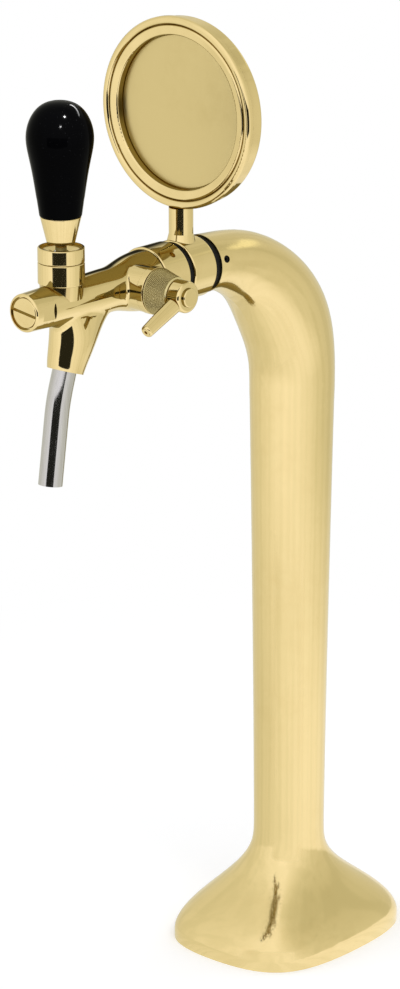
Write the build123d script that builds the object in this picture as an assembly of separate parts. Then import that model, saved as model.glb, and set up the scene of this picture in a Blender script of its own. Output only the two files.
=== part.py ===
from build123d import *
import os
from math import cos, pi, radians, sin

# Beer tower: a gooseneck column with one compensator tap.
# Millimetres, +Z up.  The origin is on the bar top, under the column's axis.
# The tap points towards -Y, and "forward" means towards -Y.

# ---- Driving sizes: base and column -----------------------------------------------------
BASE_WIDTH = 106.0            # side to side
BASE_LENGTH = 132.0           # front to back
BASE_LEAD = 1.5               # how far the base's centre is ahead of the column's axis
BASE_SQUARENESS = 0.78        # 0.552 is an ellipse, 1 is a rectangle
LIP_HEIGHT = 4.0              # upright edge of the base
FLARE_TOP = 66.0              # where the flare has become the round column
FLARE_DRAW = 1.5              # a larger value draws the flare in sooner
COLUMN_FOOT_RADIUS = 20.5
COLUMN_HEAD_RADIUS = 24.2
COLUMN_SWELL = 1.35           # a larger value keeps the column slim further up
TAP_HEIGHT = 416.8            # the tap's axis over the bar top
BEND_RADIUS = 79.4            # of the gooseneck's centreline
NECK_RADIUS = 16.1
# Radius of the gooseneck at angles round its bend, in degrees
BEND_RADII = {12.0: 24.8, 31.0: 25.7, 51.0: 22.7, 70.0: 18.4, 90.0: NECK_RADIUS}
SHELL_WALL = 2.5
CAVITY_END_ANGLE = 73.0       # degrees round the bend where the neck's solid bush starts
FLARE_STATIONS = 8
COLUMN_STATIONS = 4
LEAD_IN_LENGTH = 15.0         # straight stretch that belongs to the gooseneck

# ---- Driving sizes: what closes the base ------------------------------------------------
PLATE_THICKNESS = 8.0
GASKET_THICKNESS = 2.0
PLATE_CLEARANCE = 0.4
PASSAGE_RADIUS = 17.0         # hole for the lines
FIXING_CIRCLE_RADIUS = 40.0   # four threaded fixing holes
FIXING_HOLE_RADIUS = 2.5      # core of an M6 thread
GASKET_HOLE_MARGIN = 1.0
BOSS_RADIUS = 5.0
BOSS_SIDEWAYS = 26.0
BOSS_LENGTHWAYS = 36.0
SCREW_RADIUS = 2.0
SCREW_HEAD_RADIUS = 3.8
SCREW_HEAD_DEPTH = 2.2
SCREW_REACH = 6.0             # thread engaged in the boss
THREAD_GAP = 0.05             # radial gap that stands for a thread or a close fit
SEAT_GAP = 0.05               # between faces that are screwed together

# ---- Driving sizes: lines in the column -------------------------------------------------
LINE_RADIUS = 4.75
LINE_WALL = 1.0
LINE_OFFSET = 5.0             # the beer line stands ahead of the column's axis
COOLANT_RADIUS = 4.0
COOLANT_WALL = 0.8
COOLANT_SPREAD = 9.5          # half the distance between the two legs
COOLANT_BACKSET = 7.0
COOLANT_RISE = 3.6            # centre of the loop's turn over the foot of the gooseneck
LINE_END_HEIGHT = 14.0
CORE_RISE = 6.0               # foam starts above the flare
CORE_SETBACK = 7.4            # foam ends below the foot of the gooseneck
CORE_CLEARANCE = 0.3
CHANNEL_CLEARANCE = 0.2

# ---- Driving sizes: the stack on the neck, as forward distances --------------------------
SHANK_RADIUS = 11.4
SHANK_TAIL_LENGTH = 8.0
SHANK_TAIL_RADIUS = 7.2
SHANK_REAR = 62.0
NECK_BORE_REAR = 52.0         # threaded bore in the neck's solid bush
TAIL_ROOM_REAR = 44.0         # narrower room for the beer line behind it
TAIL_ROOM_RADIUS = 9.0
NECK_SEAL_WIDTH = 4.5
NECK_SEAL_RADIUS = 15.0
RING_WIDTH = 18.5
RING_RADIUS = 17.0
COUPLING_SEAL_WIDTH = 4.0
COUPLING_SEAL_RADIUS = 15.6
NUT_WIDTH = 19.0
NUT_RADIUS = 17.4
NUT_LIP_WIDTH = 1.9
NUT_THREAD_LENGTH = 11.0
SPANNER_HOLE_RADIUS = 1.8
SPANNER_HOLE_DEPTH = 3.0
SPANNER_HOLE_SETBACK = 8.55   # from the nut's rear face
SPANNER_HOLES = 6
SPANNER_HOLE_ANGLE = 40.0     # of the first hole, from straight up towards +X
WASHER_THICKNESS = 1.5
TAIL_FLANGE_WIDTH = 3.0
TAIL_FLANGE_RADIUS = 13.4
TAIL_NECK_RADIUS = 12.2
SET_SCREW_RADIUS = 2.0
SET_SCREW_ANGLE = 15.0        # above the horizontal, on the +X side
SET_SCREW_SETBACK = 4.0       # from the neck's end
SOCKET_RADIUS = 1.0           # of a grub screw's socket
SOCKET_DEPTH = 1.5

# ---- Driving sizes: medallion ------------------------------------------------------------
MEDALLION_RISE = 86.2         # its centre over the tap's axis
MEDALLION_RADIUS = 52.0
MEDALLION_DEPTH = 13.0
MEDALLION_AHEAD = 5.4         # its front edge, ahead of the stem's axis
RIM_RADIUS = 47.6             # inside of the housing's rim
BEZEL_RADIUS = 47.4
RECESS_RADIUS = 41.8
FLOOR_DEPTH = 5.6
BACK_RECESS_RADIUS = 45.0     # shallow hollow in the housing's back
BACK_RECESS_DEPTH = 3.2
BADGE_THICKNESS = 1.0
BADGE_GAP = 0.3               # between the badge disc and the bezel
RIM_BEAD_WIDTH = 4.0
RIM_BEAD_HEIGHT = 1.0
BEZEL_SETBACK = 0.3           # its front behind the rim's
BEZEL_SLOPE = 1.2             # its inner edge lies lower than its outer one
STEM_RADIUS = 6.65
STEM_AHEAD = 1.85             # its axis, ahead of the ring's middle
STEM_OVERLAP = 3.0            # how far the saddle cuts reach
STEM_FOOT_SPREAD = 1.5
STEM_FOOT_HEIGHT = 3.0
STEM_SCREW_RADIUS = 2.5
STEM_SCREW_HEAD_RADIUS = 4.2
STEM_SCREW_HEAD_HEIGHT = 2.6
STEM_SCREW_TIP = 3.0          # thread engaged in the housing's rim

# ---- Driving sizes: tap body -------------------------------------------------------------
NOSE_AHEAD = 29.3             # front face of the tap, ahead of the handle's axis
NOSE_RADIUS = 10.2
NOSE_ROUNDING = 1.2
BARREL_AHEAD = 23.0           # where the bulb has become the barrel, ahead of the spindle
BARREL_RADIUS = 11.8
BULB_REAR_RADIUS = 16.4
BULB_MIDDLE = (-1.0, 14.9)    # distance ahead of the spindle, radius
BULB_FRONT = (11.0, 12.3)
CHAMBER_RADIUS = 8.4          # rear bore
SEAT_LIP_AHEAD = 26.0         # of the spindle
SEAT_LIP_WIDTH = 3.0
SEAT_LIP_BORE = 5.0
VALVE_BORE = 7.4              # front bore
PLUG_RADIUS = 8.2
PLUG_LENGTH = 9.0
PLUG_RECESS = 0.6             # face of the plug behind the nose
PLUG_MOAT = 0.7               # dark ring round the plug
PLUG_MOAT_DEPTH = 1.6
PLUG_SLOT_WIDTH = 1.6
PLUG_SLOT_DEPTH = 1.8
PLUG_SLOT_ANGLE = -8.5
GUIDE_RADIUS = 5.0
GUIDE_AHEAD = 11.0            # of the handle's axis
GUIDE_DEPTH = 13.0
ORING_SECTION = 0.9
SIDE_FLAT_REACH = 9.6         # the barrel's side flats, from its axis
SIDE_FLAT_SETBACK = 4.8       # from the nose
SIDE_FLAT_LENGTH = 9.5
SIDE_FLAT_HALF_HEIGHT = 4.2

# ---- Driving sizes: handle, with heights over the ball's centre --------------------------
HANDLE_AHEAD = 51.0           # its axis, ahead of the compensator's spindle
BALL_RISE = 23.2              # pivot of the handle over the tap's axis
BONNET_RADIUS = 12.4
BONNET_SEAM = -1.0            # between boss and bonnet nut
BONNET_TOP = 7.0
BONNET_BAND_BOTTOM = -12.5
BONNET_NECK_RADIUS = 11.5
BALL_RADIUS = 6.0
BALL_GAP = 0.08
BALL_POCKET_RADIUS = 9.4
BALL_POCKET_BOTTOM = -8.5
SEAT_CONTACT_RADIUS = 4.2
SEAT_TOP = -3.4
SEAT_SKIRT_RADIUS = 5.9
CUP_RADIUS = 11.3
CUP_WALL_DEPTH = 1.4
THROAT = 3.3                  # bottom of the cup, where the ball shows
THROAT_RADIUS = 5.4
FINGER_RADIUS = 2.0
FINGER_TIP_RADIUS = 2.6
STEM_NECK_RADIUS = 3.0
LEVER_STEM_RADIUS = 4.0
LEVER_STEM_TOP = 38.0
FERRULE_BOTTOM = 9.3
FERRULE_TOP = 23.3
FERRULE_BOTTOM_RADIUS = 7.5
FERRULE_TOP_RADIUS = 10.9
GRIP_BOTTOM_RADIUS = 11.1
# The grip's side from its crown down: radius, height
GRIP_SIDE = [(13.2, 78.3), (17.7, 65.5), (16.5, 55.6), (14.3, 44.3), (12.55, 33.1)]
GRIP_TOP = 84.0
GRIP_ROUNDING = 0.8
INSERT_RADIUS = 6.0
INSERT_LENGTH = 17.0
HANDLE_TILT = 18.0            # degrees, full pull

# ---- Driving sizes: valve ----------------------------------------------------------------
ROD_RADIUS = 2.5
EYE_RADIUS = 6.0
EYE_LENGTH = 10.0
EYE_SLOT_GAP = 0.1
EYE_FLOOR = 0.6               # room under the finger's tip
EYE_RELIEF = 1.1              # the slot is wider ahead of the finger, which leans as it moves
EYE_RELIEF_RISE = 2.0         # over the tap's axis
ROD_AHEAD = 23.0              # front end, ahead of the handle's axis
VALVE_WASHER_RADIUS = 7.0
VALVE_WASHER_THICKNESS = 3.0
VALVE_NUT_RADIUS = 5.5
VALVE_NUT_THICKNESS = 3.5
ROD_TAIL = 1.0

# ---- Driving sizes: spout ----------------------------------------------------------------
SPOUT_TILT = 18.5             # boss axis from straight down, leaning forward
SPOUT_MOUTH_BEHIND = 1.6      # the boss's lower face, behind the handle's axis
SPOUT_MOUTH_DROP = 37.3       # and below the tap's
SPOUT_BLEND = 5.0             # fillet between boss and barrel
# Sections of the boss: up the axis from its mouth, half width, half length, set back
SPOUT_BOSS_SECTIONS = [
    (0.0, 9.8, 9.8, 0.6),
    (10.5, 10.9, 12.2, 0.7),
    (16.8, 11.4, 13.7, 0.9),
    (24.0, 11.2, 16.2, 0.9),
    (36.0, 8.6, 20.0, 4.4),
]
SPOUT_RADIUS = 6.5
SPOUT_WALL = 0.9
SPOUT_SOCKET = 9.0            # how deep the tube sits in the boss
SPOUT_ORING_SETBACK = 2.0
SPOUT_END_TILT = 8.6
SPOUT_STRAIGHT = 8.0          # below the boss, before the bend
SPOUT_BEND_RADIUS = 100.0
SPOUT_END_DROP = 97.3         # below the tap's axis

# ---- Driving sizes: compensator ----------------------------------------------------------
SPINDLE_AHEAD = 14.0          # its axis, ahead of the coupling nut, at tap height
SIDE_BOSS_RADIUS = 12.4
SIDE_BOSS_REACH = 18.0        # from the tap's axis
SIDE_BLEND = 2.0              # fillet between boss and bulb
GLAND_RADIUS = 12.8
GLAND_FLANGE = 4.0
GLAND_PLUG_RADIUS = 7.0
GLAND_PLUG_LENGTH = 7.0
GROOVE_SETBACK = 3.0          # of the seal's groove, from the flange
COLLAR_MARGIN = 1.5           # of the spindle's collar round the spindle
COLLAR_WIDTH = 1.3
COLLAR_GAP = 0.2
SPINDLE_RADIUS = 3.5
SPINDLE_END = 43.0
SPINDLE_GAP = 0.05
PIN_RADIUS = 1.2
PIN_OFFSET = 2.5
PIN_LENGTH = 3.0
CONE_COLLAR_RADIUS = 8.3
CONE_COLLAR_LENGTH = 9.0
CONE_TIP_RADIUS = 2.5
CONE_TIP_SETBACK = 26.0       # behind the spindle
CONE_TIP_ROUNDING = 1.2
CONE_FLUTES = 4
CONE_FLUTE_RADIUS = 1.6
CONE_GAP = 0.8                # between cone and sleeve, at the sleeve's mouth
CONE_SETBACK = 1.5            # where the cone ends inside the sleeve
PIN_SIDE_GAP = 0.15
PIN_END_GAP = 0.4             # between pin and cone, along both their axes
METER_LENGTH = 12.5
METER_BORE_REAR = 5.0
METER_BORE_FRONT = 7.2
KNOB_GAP = 0.3
KNOB_LENGTH = 13.0
KNOB_FRONT_RADIUS = 9.6
KNOB_ROUNDING = 0.6
HUB_RADIUS = 8.5
HUB_LENGTH = 8.5
HUB_ROUNDING = 1.6
CAP_RADIUS = 5.2
CAP_HEIGHT = 1.4
CAP_SCREW_RADIUS = 1.6
CAP_SCREW_LENGTH = 6.0
LEVER_ROD_RADIUS = 4.3
LEVER_ROD_END_RADIUS = 3.4
LEVER_ROD_LENGTH = 32.5       # from the spindle's axis
LEVER_ROD_DROP = 25.0         # degrees below the horizontal, pointing forward
LEVER_SOCKET = 3.5            # depth of the rod's spigot in the hub
COMPENSATOR_SWING = 45.0      # degrees each way

# ---- Values that follow ------------------------------------------------------------------
ROUND = 0.5523                # Bezier handle share of a circle
CUT = 1.0                     # how far a cutting tool runs past a face
TOUCHING = 0.001              # closer than this, a point lies on a surface
BEND_FOOT = TAP_HEIGHT - BEND_RADIUS
LEAD_IN = BEND_FOOT - LEAD_IN_LENGTH
NECK_END = BEND_RADIUS + 0.6
SEAL_FRONT = NECK_END + NECK_SEAL_WIDTH
SHANK_BORE = LINE_RADIUS + THREAD_GAP
RING_FRONT = SEAL_FRONT + RING_WIDTH
NUT_REAR = RING_FRONT + COUPLING_SEAL_WIDTH
NUT_FRONT = NUT_REAR + NUT_WIDTH
FLANGE_FRONT = NUT_FRONT - NUT_LIP_WIDTH - SEAT_GAP
TAIL_END = FLANGE_FRONT - TAIL_FLANGE_WIDTH
SHANK_FRONT = TAIL_END - WASHER_THICKNESS
BULB_REAR = NUT_FRONT + 0.4
PLATE_TOP = GASKET_THICKNESS + PLATE_THICKNESS
STROKE = BALL_RISE * sin(radians(HANDLE_TILT))
CORE_BOTTOM = FLARE_TOP + CORE_RISE
CORE_TOP = BEND_FOOT - CORE_SETBACK
COOLANT_TOP = BEND_FOOT + COOLANT_RISE
STEM_FORWARD = (SEAL_FRONT + RING_FRONT) / 2 + STEM_AHEAD
MEDALLION_FRONT = STEM_FORWARD + MEDALLION_AHEAD
MEDALLION_HEIGHT = TAP_HEIGHT + MEDALLION_RISE
BADGE_FLOOR = MEDALLION_FRONT - FLOOR_DEPTH - BADGE_THICKNESS
SIDE_FORWARD = NUT_FRONT + SPINDLE_AHEAD
HANDLE_FORWARD = SIDE_FORWARD + HANDLE_AHEAD
NOSE_FORWARD = HANDLE_FORWARD + NOSE_AHEAD
BARREL_FORWARD = SIDE_FORWARD + BARREL_AHEAD
SEAT_LIP_FORWARD = SIDE_FORWARD + SEAT_LIP_AHEAD
GUIDE_FORWARD = HANDLE_FORWARD + GUIDE_AHEAD
ROD_FRONT = HANDLE_FORWARD + ROD_AHEAD
SPOUT_MOUTH = (HANDLE_FORWARD - SPOUT_MOUTH_BEHIND, TAP_HEIGHT - SPOUT_MOUTH_DROP)
HUB_REAR = SIDE_BOSS_REACH + GLAND_FLANGE + KNOB_GAP + KNOB_LENGTH + SEAT_GAP
HUB_MIDDLE = HUB_REAR + HUB_LENGTH / 2
SPOUT_MOUTH_TO_AXIS = SPOUT_MOUTH_DROP / cos(radians(SPOUT_TILT))

TAP = Plane(origin=(0, 0, TAP_HEIGHT), x_dir=(1, 0, 0), z_dir=(0, -1, 0))
HANDLE = Plane(origin=(0, -HANDLE_FORWARD, TAP_HEIGHT + BALL_RISE), x_dir=(1, 0, 0),
               z_dir=(0, 0, 1))
SIDE = Plane(origin=(0, -SIDE_FORWARD, TAP_HEIGHT), x_dir=(0, 1, 0), z_dir=(1, 0, 0))
STEM = Plane(origin=(0, -STEM_FORWARD, 0), x_dir=(1, 0, 0), z_dir=(0, 0, 1))
MEDALLION = Plane(origin=(0, 0, MEDALLION_HEIGHT), x_dir=(1, 0, 0), z_dir=(0, -1, 0))
SPOUT = Plane(
    origin=(0, -SPOUT_MOUTH[0], SPOUT_MOUTH[1]),
    x_dir=(1, 0, 0),
    z_dir=(0, sin(radians(SPOUT_TILT)), cos(radians(SPOUT_TILT))),
)


# ---- Turned shapes: every frame's z axis is the axis of turning --------------------------
def rod(frame, start, end, radius):
    """Solid cylinder along the frame's z axis."""
    bar = Cylinder(radius, end - start, align=(Align.CENTER, Align.CENTER, Align.MIN))
    return frame * Pos(0, 0, start) * bar


def tube(frame, start, end, outer, inner):
    return rod(frame, start, end, outer) - rod(frame, start - CUT, end + CUT, inner)


def taper(frame, start, end, start_radius, end_radius):
    cone = Cone(start_radius, end_radius, end - start, align=(Align.CENTER, Align.CENTER, Align.MIN))
    return frame * Pos(0, 0, start) * cone


def turned(frame, corners):
    """Solid turned from corners of (radius, along) or (radius, along, rounding)."""
    face = make_face(Polyline(*[(corner[0], corner[1]) for corner in corners], close=True))
    for corner in corners:
        if len(corner) == 3:
            point = Vector(corner[0], corner[1])
            nearest = face.vertices().sort_by_distance(point)[0]
            face = fillet(nearest, corner[2])
    return frame * revolve(Plane.XZ * face, Axis.Z)


def ball(frame, along, radius):
    return frame * Pos(0, 0, along) * Sphere(radius)


def ring_torus(frame, along, radius, section):
    return frame * Pos(0, 0, along) * Torus(radius, section)


def around(count, first_angle):
    return [first_angle + 360.0 * turn / count for turn in range(count)]


def blended_union(first, second, radius):
    """Two solids made one, with their seam filled to a radius."""
    surfaces = [Compound(first.faces()), Compound(second.faces())]
    whole = first + second
    seam = [edge for edge in whole.edges()
            if all(surface.distance_to(Vertex(edge @ 0.5)) < TOUCHING for surface in surfaces)]
    return fillet(seam, radius)


# ---- Column shell ------------------------------------------------------------------------
def oval(half_x, half_y, squareness):
    """Face inside four Bezier quarters."""
    corners = [Vector(half_x, 0), Vector(0, half_y), Vector(-half_x, 0), Vector(0, -half_y)]
    sides = []
    for here, ahead in zip(corners, corners[1:] + corners[:1]):
        bent = [here, here + ahead * squareness, ahead + here * squareness, ahead]
        sides.append(Bezier(*bent))
    return make_face(sides)


def flare_share(height):
    """1 at the lip, falling smoothly to 0 where the round column starts."""
    climb = min(max((height - LIP_HEIGHT) / (FLARE_TOP - LIP_HEIGHT), 0), 1)
    return (0.5 + 0.5 * cos(pi * climb)) ** FLARE_DRAW


def column_radius(height):
    climb = max((height - FLARE_TOP) / (BEND_FOOT - FLARE_TOP), 0)
    return COLUMN_FOOT_RADIUS + (COLUMN_HEAD_RADIUS - COLUMN_FOOT_RADIUS) * climb ** COLUMN_SWELL


def upright_section(height, inset, level=None):
    """The shell's outline at a height, drawn in by an inset."""
    share = flare_share(height)
    foot = column_radius(height)
    half_x = foot + (BASE_WIDTH / 2 - foot) * share - inset
    half_y = foot + (BASE_LENGTH / 2 - foot) * share - inset
    squareness = ROUND + (BASE_SQUARENESS - ROUND) * share
    place = Pos(0, -BASE_LEAD * share, height if level is None else level)
    return place * oval(half_x, half_y, squareness)


def bend_plane(angle):
    turn = radians(angle)
    middle = (0, BEND_RADIUS * (cos(turn) - 1), BEND_FOOT + BEND_RADIUS * sin(turn))
    return Plane(origin=middle, x_dir=(1, 0, 0), z_dir=(0, -sin(turn), cos(turn)))


def evenly(start, end, steps):
    return [start + (end - start) * step / steps for step in range(steps + 1)]


def shell_form(inset, last_angle):
    """Flare, column and gooseneck, each lofted through its own stations and fused."""
    flare = [upright_section(height, inset) for height in evenly(LIP_HEIGHT, FLARE_TOP, FLARE_STATIONS)]
    shaft = [upright_section(height, inset) for height in evenly(FLARE_TOP, LEAD_IN, COLUMN_STATIONS)]
    bend = [upright_section(height, inset) for height in (LEAD_IN, BEND_FOOT)]
    for angle, radius in BEND_RADII.items():
        if angle <= last_angle:
            bend.append(bend_plane(angle) * oval(radius - inset, radius - inset, ROUND))
    return loft(flare) + loft(shaft) + loft(bend)


def shell_outside():
    lip = extrude(upright_section(LIP_HEIGHT, 0, level=0), LIP_HEIGHT)
    return shell_form(0, 90.0) + lip


def shell_cavity():
    mouth = extrude(upright_section(LIP_HEIGHT, SHELL_WALL, level=-CUT), LIP_HEIGHT + CUT)
    return shell_form(SHELL_WALL, CAVITY_END_ANGLE) + mouth


def boss_places():
    return [(side * BOSS_SIDEWAYS, end * BOSS_LENGTHWAYS - BASE_LEAD)
            for side in (-1, 1) for end in (-1, 1)]


def neck_screw_frame():
    turn = radians(SET_SCREW_ANGLE)
    outward = (cos(turn), 0, sin(turn))
    return Plane(origin=(0, SET_SCREW_SETBACK - NECK_END, TAP_HEIGHT), x_dir=(0, 1, 0), z_dir=outward)


def column_shell():
    outside = shell_outside()
    bosses = None
    for x, y in boss_places():
        post = Pos(x, y, PLATE_TOP + SEAT_GAP) * Cylinder(
            BOSS_RADIUS, FLARE_TOP, align=(Align.CENTER, Align.CENTER, Align.MIN))
        bosses = post if bosses is None else bosses + post
    neck = bend_plane(90.0) * oval(NECK_RADIUS, NECK_RADIUS, ROUND)
    end_collar = extrude(neck, NECK_END - BEND_RADIUS)
    shell = outside + end_collar - shell_cavity()
    shell = shell + (bosses & outside)
    for x, y in boss_places():
        depth = PLATE_TOP + SCREW_REACH + CUT
        shell -= Pos(x, y, 0) * Cylinder(
            SCREW_RADIUS + THREAD_GAP, depth, align=(Align.CENTER, Align.CENTER, Align.MIN))
    shell -= rod(TAP, TAIL_ROOM_REAR, NECK_END, TAIL_ROOM_RADIUS)
    shell -= rod(TAP, NECK_BORE_REAR, NECK_END + CUT, SHANK_RADIUS + THREAD_GAP)
    shell -= rod(neck_screw_frame(), SHANK_RADIUS, NECK_RADIUS + CUT, SET_SCREW_RADIUS + THREAD_GAP)
    return shell


def grub_screw(frame, tip, head, radius):
    """Set screw with a socket in its outer end."""
    socket = frame * Pos(0, 0, head - SOCKET_DEPTH) * extrude(
        RegularPolygon(SOCKET_RADIUS, 6), SOCKET_DEPTH + CUT)
    return rod(frame, tip, head, radius) - socket


def neck_set_screw():
    head = NECK_RADIUS - 0.4
    return grub_screw(neck_screw_frame(), SHANK_RADIUS + SEAT_GAP, head, SET_SCREW_RADIUS)


# ---- Base --------------------------------------------------------------------------------
def fixing_places():
    return [(FIXING_CIRCLE_RADIUS * cos(radians(turn)), FIXING_CIRCLE_RADIUS * sin(radians(turn)))
            for turn in around(4, 0)]


def floor_panel(bottom, top, fixing_radius, screw_radius):
    """Plate that fills the base's underside, with its holes."""
    inset = SHELL_WALL + PLATE_CLEARANCE
    panel = extrude(upright_section(top, inset, level=bottom), top - bottom)
    holes = [(0, 0, PASSAGE_RADIUS)]
    holes += [(x, y, fixing_radius) for x, y in fixing_places()]
    holes += [(x, y, screw_radius) for x, y in boss_places()]
    for x, y, radius in holes:
        panel -= Pos(x, y, bottom - CUT) * Cylinder(
            radius, top - bottom + 2 * CUT, align=(Align.CENTER, Align.CENTER, Align.MIN))
    return panel


def base_gasket():
    return floor_panel(0, GASKET_THICKNESS, FIXING_HOLE_RADIUS + GASKET_HOLE_MARGIN,
                       SCREW_HEAD_RADIUS + GASKET_HOLE_MARGIN)


def base_plate():
    plate = floor_panel(GASKET_THICKNESS, PLATE_TOP, FIXING_HOLE_RADIUS, SCREW_RADIUS + THREAD_GAP)
    for x, y in boss_places():
        plate -= taper(Plane((x, y, 0)), GASKET_THICKNESS, GASKET_THICKNESS + SCREW_HEAD_DEPTH,
                       SCREW_HEAD_RADIUS + THREAD_GAP, SCREW_RADIUS + THREAD_GAP)
    return plate


def base_screws():
    screws = []
    for x, y in boss_places():
        axis = Plane((x, y, 0))
        head = taper(axis, GASKET_THICKNESS, GASKET_THICKNESS + SCREW_HEAD_DEPTH,
                     SCREW_HEAD_RADIUS, SCREW_RADIUS)
        shank_end = PLATE_TOP + SCREW_REACH
        screw = head + rod(axis, GASKET_THICKNESS, shank_end, SCREW_RADIUS)
        screws.append(screw - rod(axis, GASKET_THICKNESS - CUT, GASKET_THICKNESS + SOCKET_DEPTH,
                                  SOCKET_RADIUS))
    return Compound(screws)


# ---- Lines in the column -----------------------------------------------------------------
def pipe(path, radius, wall):
    start = path @ 0
    section = Plane(origin=start, z_dir=path % 0)
    face = section * (Circle(radius) - Circle(radius - wall))
    return sweep(face, path=path)


def beer_line():
    """Upright leg, a quarter bend and a short run into the shank's tail."""
    bend_end = SHANK_REAR - SHANK_TAIL_LENGTH - CUT
    bend_radius = bend_end - LINE_OFFSET
    top = TAP_HEIGHT - bend_radius
    side = Plane(origin=(0, 0, 0), x_dir=(0, 1, 0), z_dir=(1, 0, 0))
    leg = Line((-LINE_OFFSET, LINE_END_HEIGHT), (-LINE_OFFSET, top))
    bend = CenterArc((-bend_end, top), bend_radius, 0, 90)
    stub = Line((-bend_end, TAP_HEIGHT), (-SHANK_REAR, TAP_HEIGHT))
    path = side * Wire([leg, bend, stub])
    return pipe(path, LINE_RADIUS, LINE_WALL)


def coolant_loop():
    front = Plane(origin=(0, COOLANT_BACKSET, 0), x_dir=(1, 0, 0), z_dir=(0, -1, 0))
    rise = Line((-COOLANT_SPREAD, LINE_END_HEIGHT), (-COOLANT_SPREAD, COOLANT_TOP))
    turn = CenterArc((0, COOLANT_TOP), COOLANT_SPREAD, 180, -180)
    fall = Line((COOLANT_SPREAD, COOLANT_TOP), (COOLANT_SPREAD, LINE_END_HEIGHT))
    path = front * Wire([rise, turn, fall])
    return pipe(path, COOLANT_RADIUS, COOLANT_WALL)


def insulation_core():
    heights = evenly(CORE_BOTTOM, CORE_TOP, 3)
    core = loft([upright_section(height, SHELL_WALL + CORE_CLEARANCE) for height in heights])
    channels = [(0, -LINE_OFFSET, LINE_RADIUS)]
    channels += [(side * COOLANT_SPREAD, COOLANT_BACKSET, COOLANT_RADIUS) for side in (-1, 1)]
    for x, y, radius in channels:
        core -= rod(Plane((x, y, 0)), CORE_BOTTOM - CUT, CORE_TOP + CUT, radius + CHANNEL_CLEARANCE)
    return core


# ---- Stack on the neck -------------------------------------------------------------------
def shank():
    body = rod(TAP, SHANK_REAR, SHANK_FRONT, SHANK_RADIUS)
    tail = rod(TAP, SHANK_REAR - SHANK_TAIL_LENGTH, SHANK_REAR, SHANK_TAIL_RADIUS)
    bore = rod(TAP, SHANK_REAR - SHANK_TAIL_LENGTH - CUT, SHANK_FRONT + CUT, SHANK_BORE)
    return body + tail - bore


def line_clip():
    """Ring that holds the beer line in the shank's tail."""
    middle = SHANK_REAR - SHANK_TAIL_LENGTH / 2
    return tube(TAP, middle - 2.5, middle + 2.5, SHANK_TAIL_RADIUS + 1.2, SHANK_TAIL_RADIUS + THREAD_GAP)


def neck_seal():
    return turned(TAP, [
        (SHANK_RADIUS + THREAD_GAP, NECK_END + SEAT_GAP),
        (NECK_SEAL_RADIUS, NECK_END + SEAT_GAP),
        (NECK_SEAL_RADIUS, SEAL_FRONT - SEAT_GAP),
        (SHANK_RADIUS + THREAD_GAP, SEAL_FRONT - SEAT_GAP),
    ])


def coupling_seal():
    return turned(TAP, [
        (SHANK_RADIUS + THREAD_GAP, RING_FRONT + SEAT_GAP),
        (COUPLING_SEAL_RADIUS, RING_FRONT + SEAT_GAP),
        (COUPLING_SEAL_RADIUS, NUT_REAR - SEAT_GAP),
        (SHANK_RADIUS + THREAD_GAP, NUT_REAR - SEAT_GAP),
    ])


def tail_washer():
    return tube(TAP, SHANK_FRONT + SEAT_GAP, TAIL_END - SEAT_GAP, TAIL_FLANGE_RADIUS - 0.4, SHANK_BORE)


def coupling_nut():
    bore = SHANK_RADIUS + THREAD_GAP
    pocket = TAIL_FLANGE_RADIUS + THREAD_GAP
    nut = turned(TAP, [
        (bore, NUT_REAR),
        (NUT_RADIUS, NUT_REAR, 1.2),
        (NUT_RADIUS, NUT_FRONT, 1.0),
        (TAIL_NECK_RADIUS + THREAD_GAP, NUT_FRONT),
        (TAIL_NECK_RADIUS + THREAD_GAP, NUT_FRONT - NUT_LIP_WIDTH),
        (pocket, NUT_FRONT - NUT_LIP_WIDTH),
        (pocket, NUT_REAR + NUT_THREAD_LENGTH),
        (bore, NUT_REAR + NUT_THREAD_LENGTH),
    ])
    middle = NUT_REAR + SPANNER_HOLE_SETBACK
    for angle in around(SPANNER_HOLES, SPANNER_HOLE_ANGLE):
        turn = radians(angle)
        drill = Plane(origin=(0, -middle, TAP_HEIGHT), x_dir=(0, 1, 0), z_dir=(sin(turn), 0, cos(turn)))
        nut -= rod(drill, NUT_RADIUS - SPANNER_HOLE_DEPTH, NUT_RADIUS + CUT, SPANNER_HOLE_RADIUS)
    return nut


def ring_screw_frame():
    middle = (SEAL_FRONT + RING_FRONT) / 2
    return Plane(origin=(0, -middle, TAP_HEIGHT), x_dir=(0, 1, 0), z_dir=(0, 0, -1))


def medallion_ring():
    bore = SHANK_RADIUS + THREAD_GAP
    ring = turned(TAP, [
        (bore, SEAL_FRONT),
        (RING_RADIUS, SEAL_FRONT, 1.8),
        (RING_RADIUS, RING_FRONT, 1.0),
        (bore, RING_FRONT),
    ])
    head_top = TAP_HEIGHT + SHANK_RADIUS + STEM_SCREW_HEAD_HEIGHT
    ring -= rod(STEM, TAP_HEIGHT, head_top, STEM_SCREW_HEAD_RADIUS + THREAD_GAP)
    ring -= rod(STEM, TAP_HEIGHT, TAP_HEIGHT + RING_RADIUS + CUT, STEM_SCREW_RADIUS + THREAD_GAP)
    ring -= rod(ring_screw_frame(), 0, RING_RADIUS + CUT, SET_SCREW_RADIUS + THREAD_GAP)
    return ring


def ring_set_screw():
    head = RING_RADIUS - 0.4
    return grub_screw(ring_screw_frame(), SHANK_RADIUS + SEAT_GAP, head, SET_SCREW_RADIUS)


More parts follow.
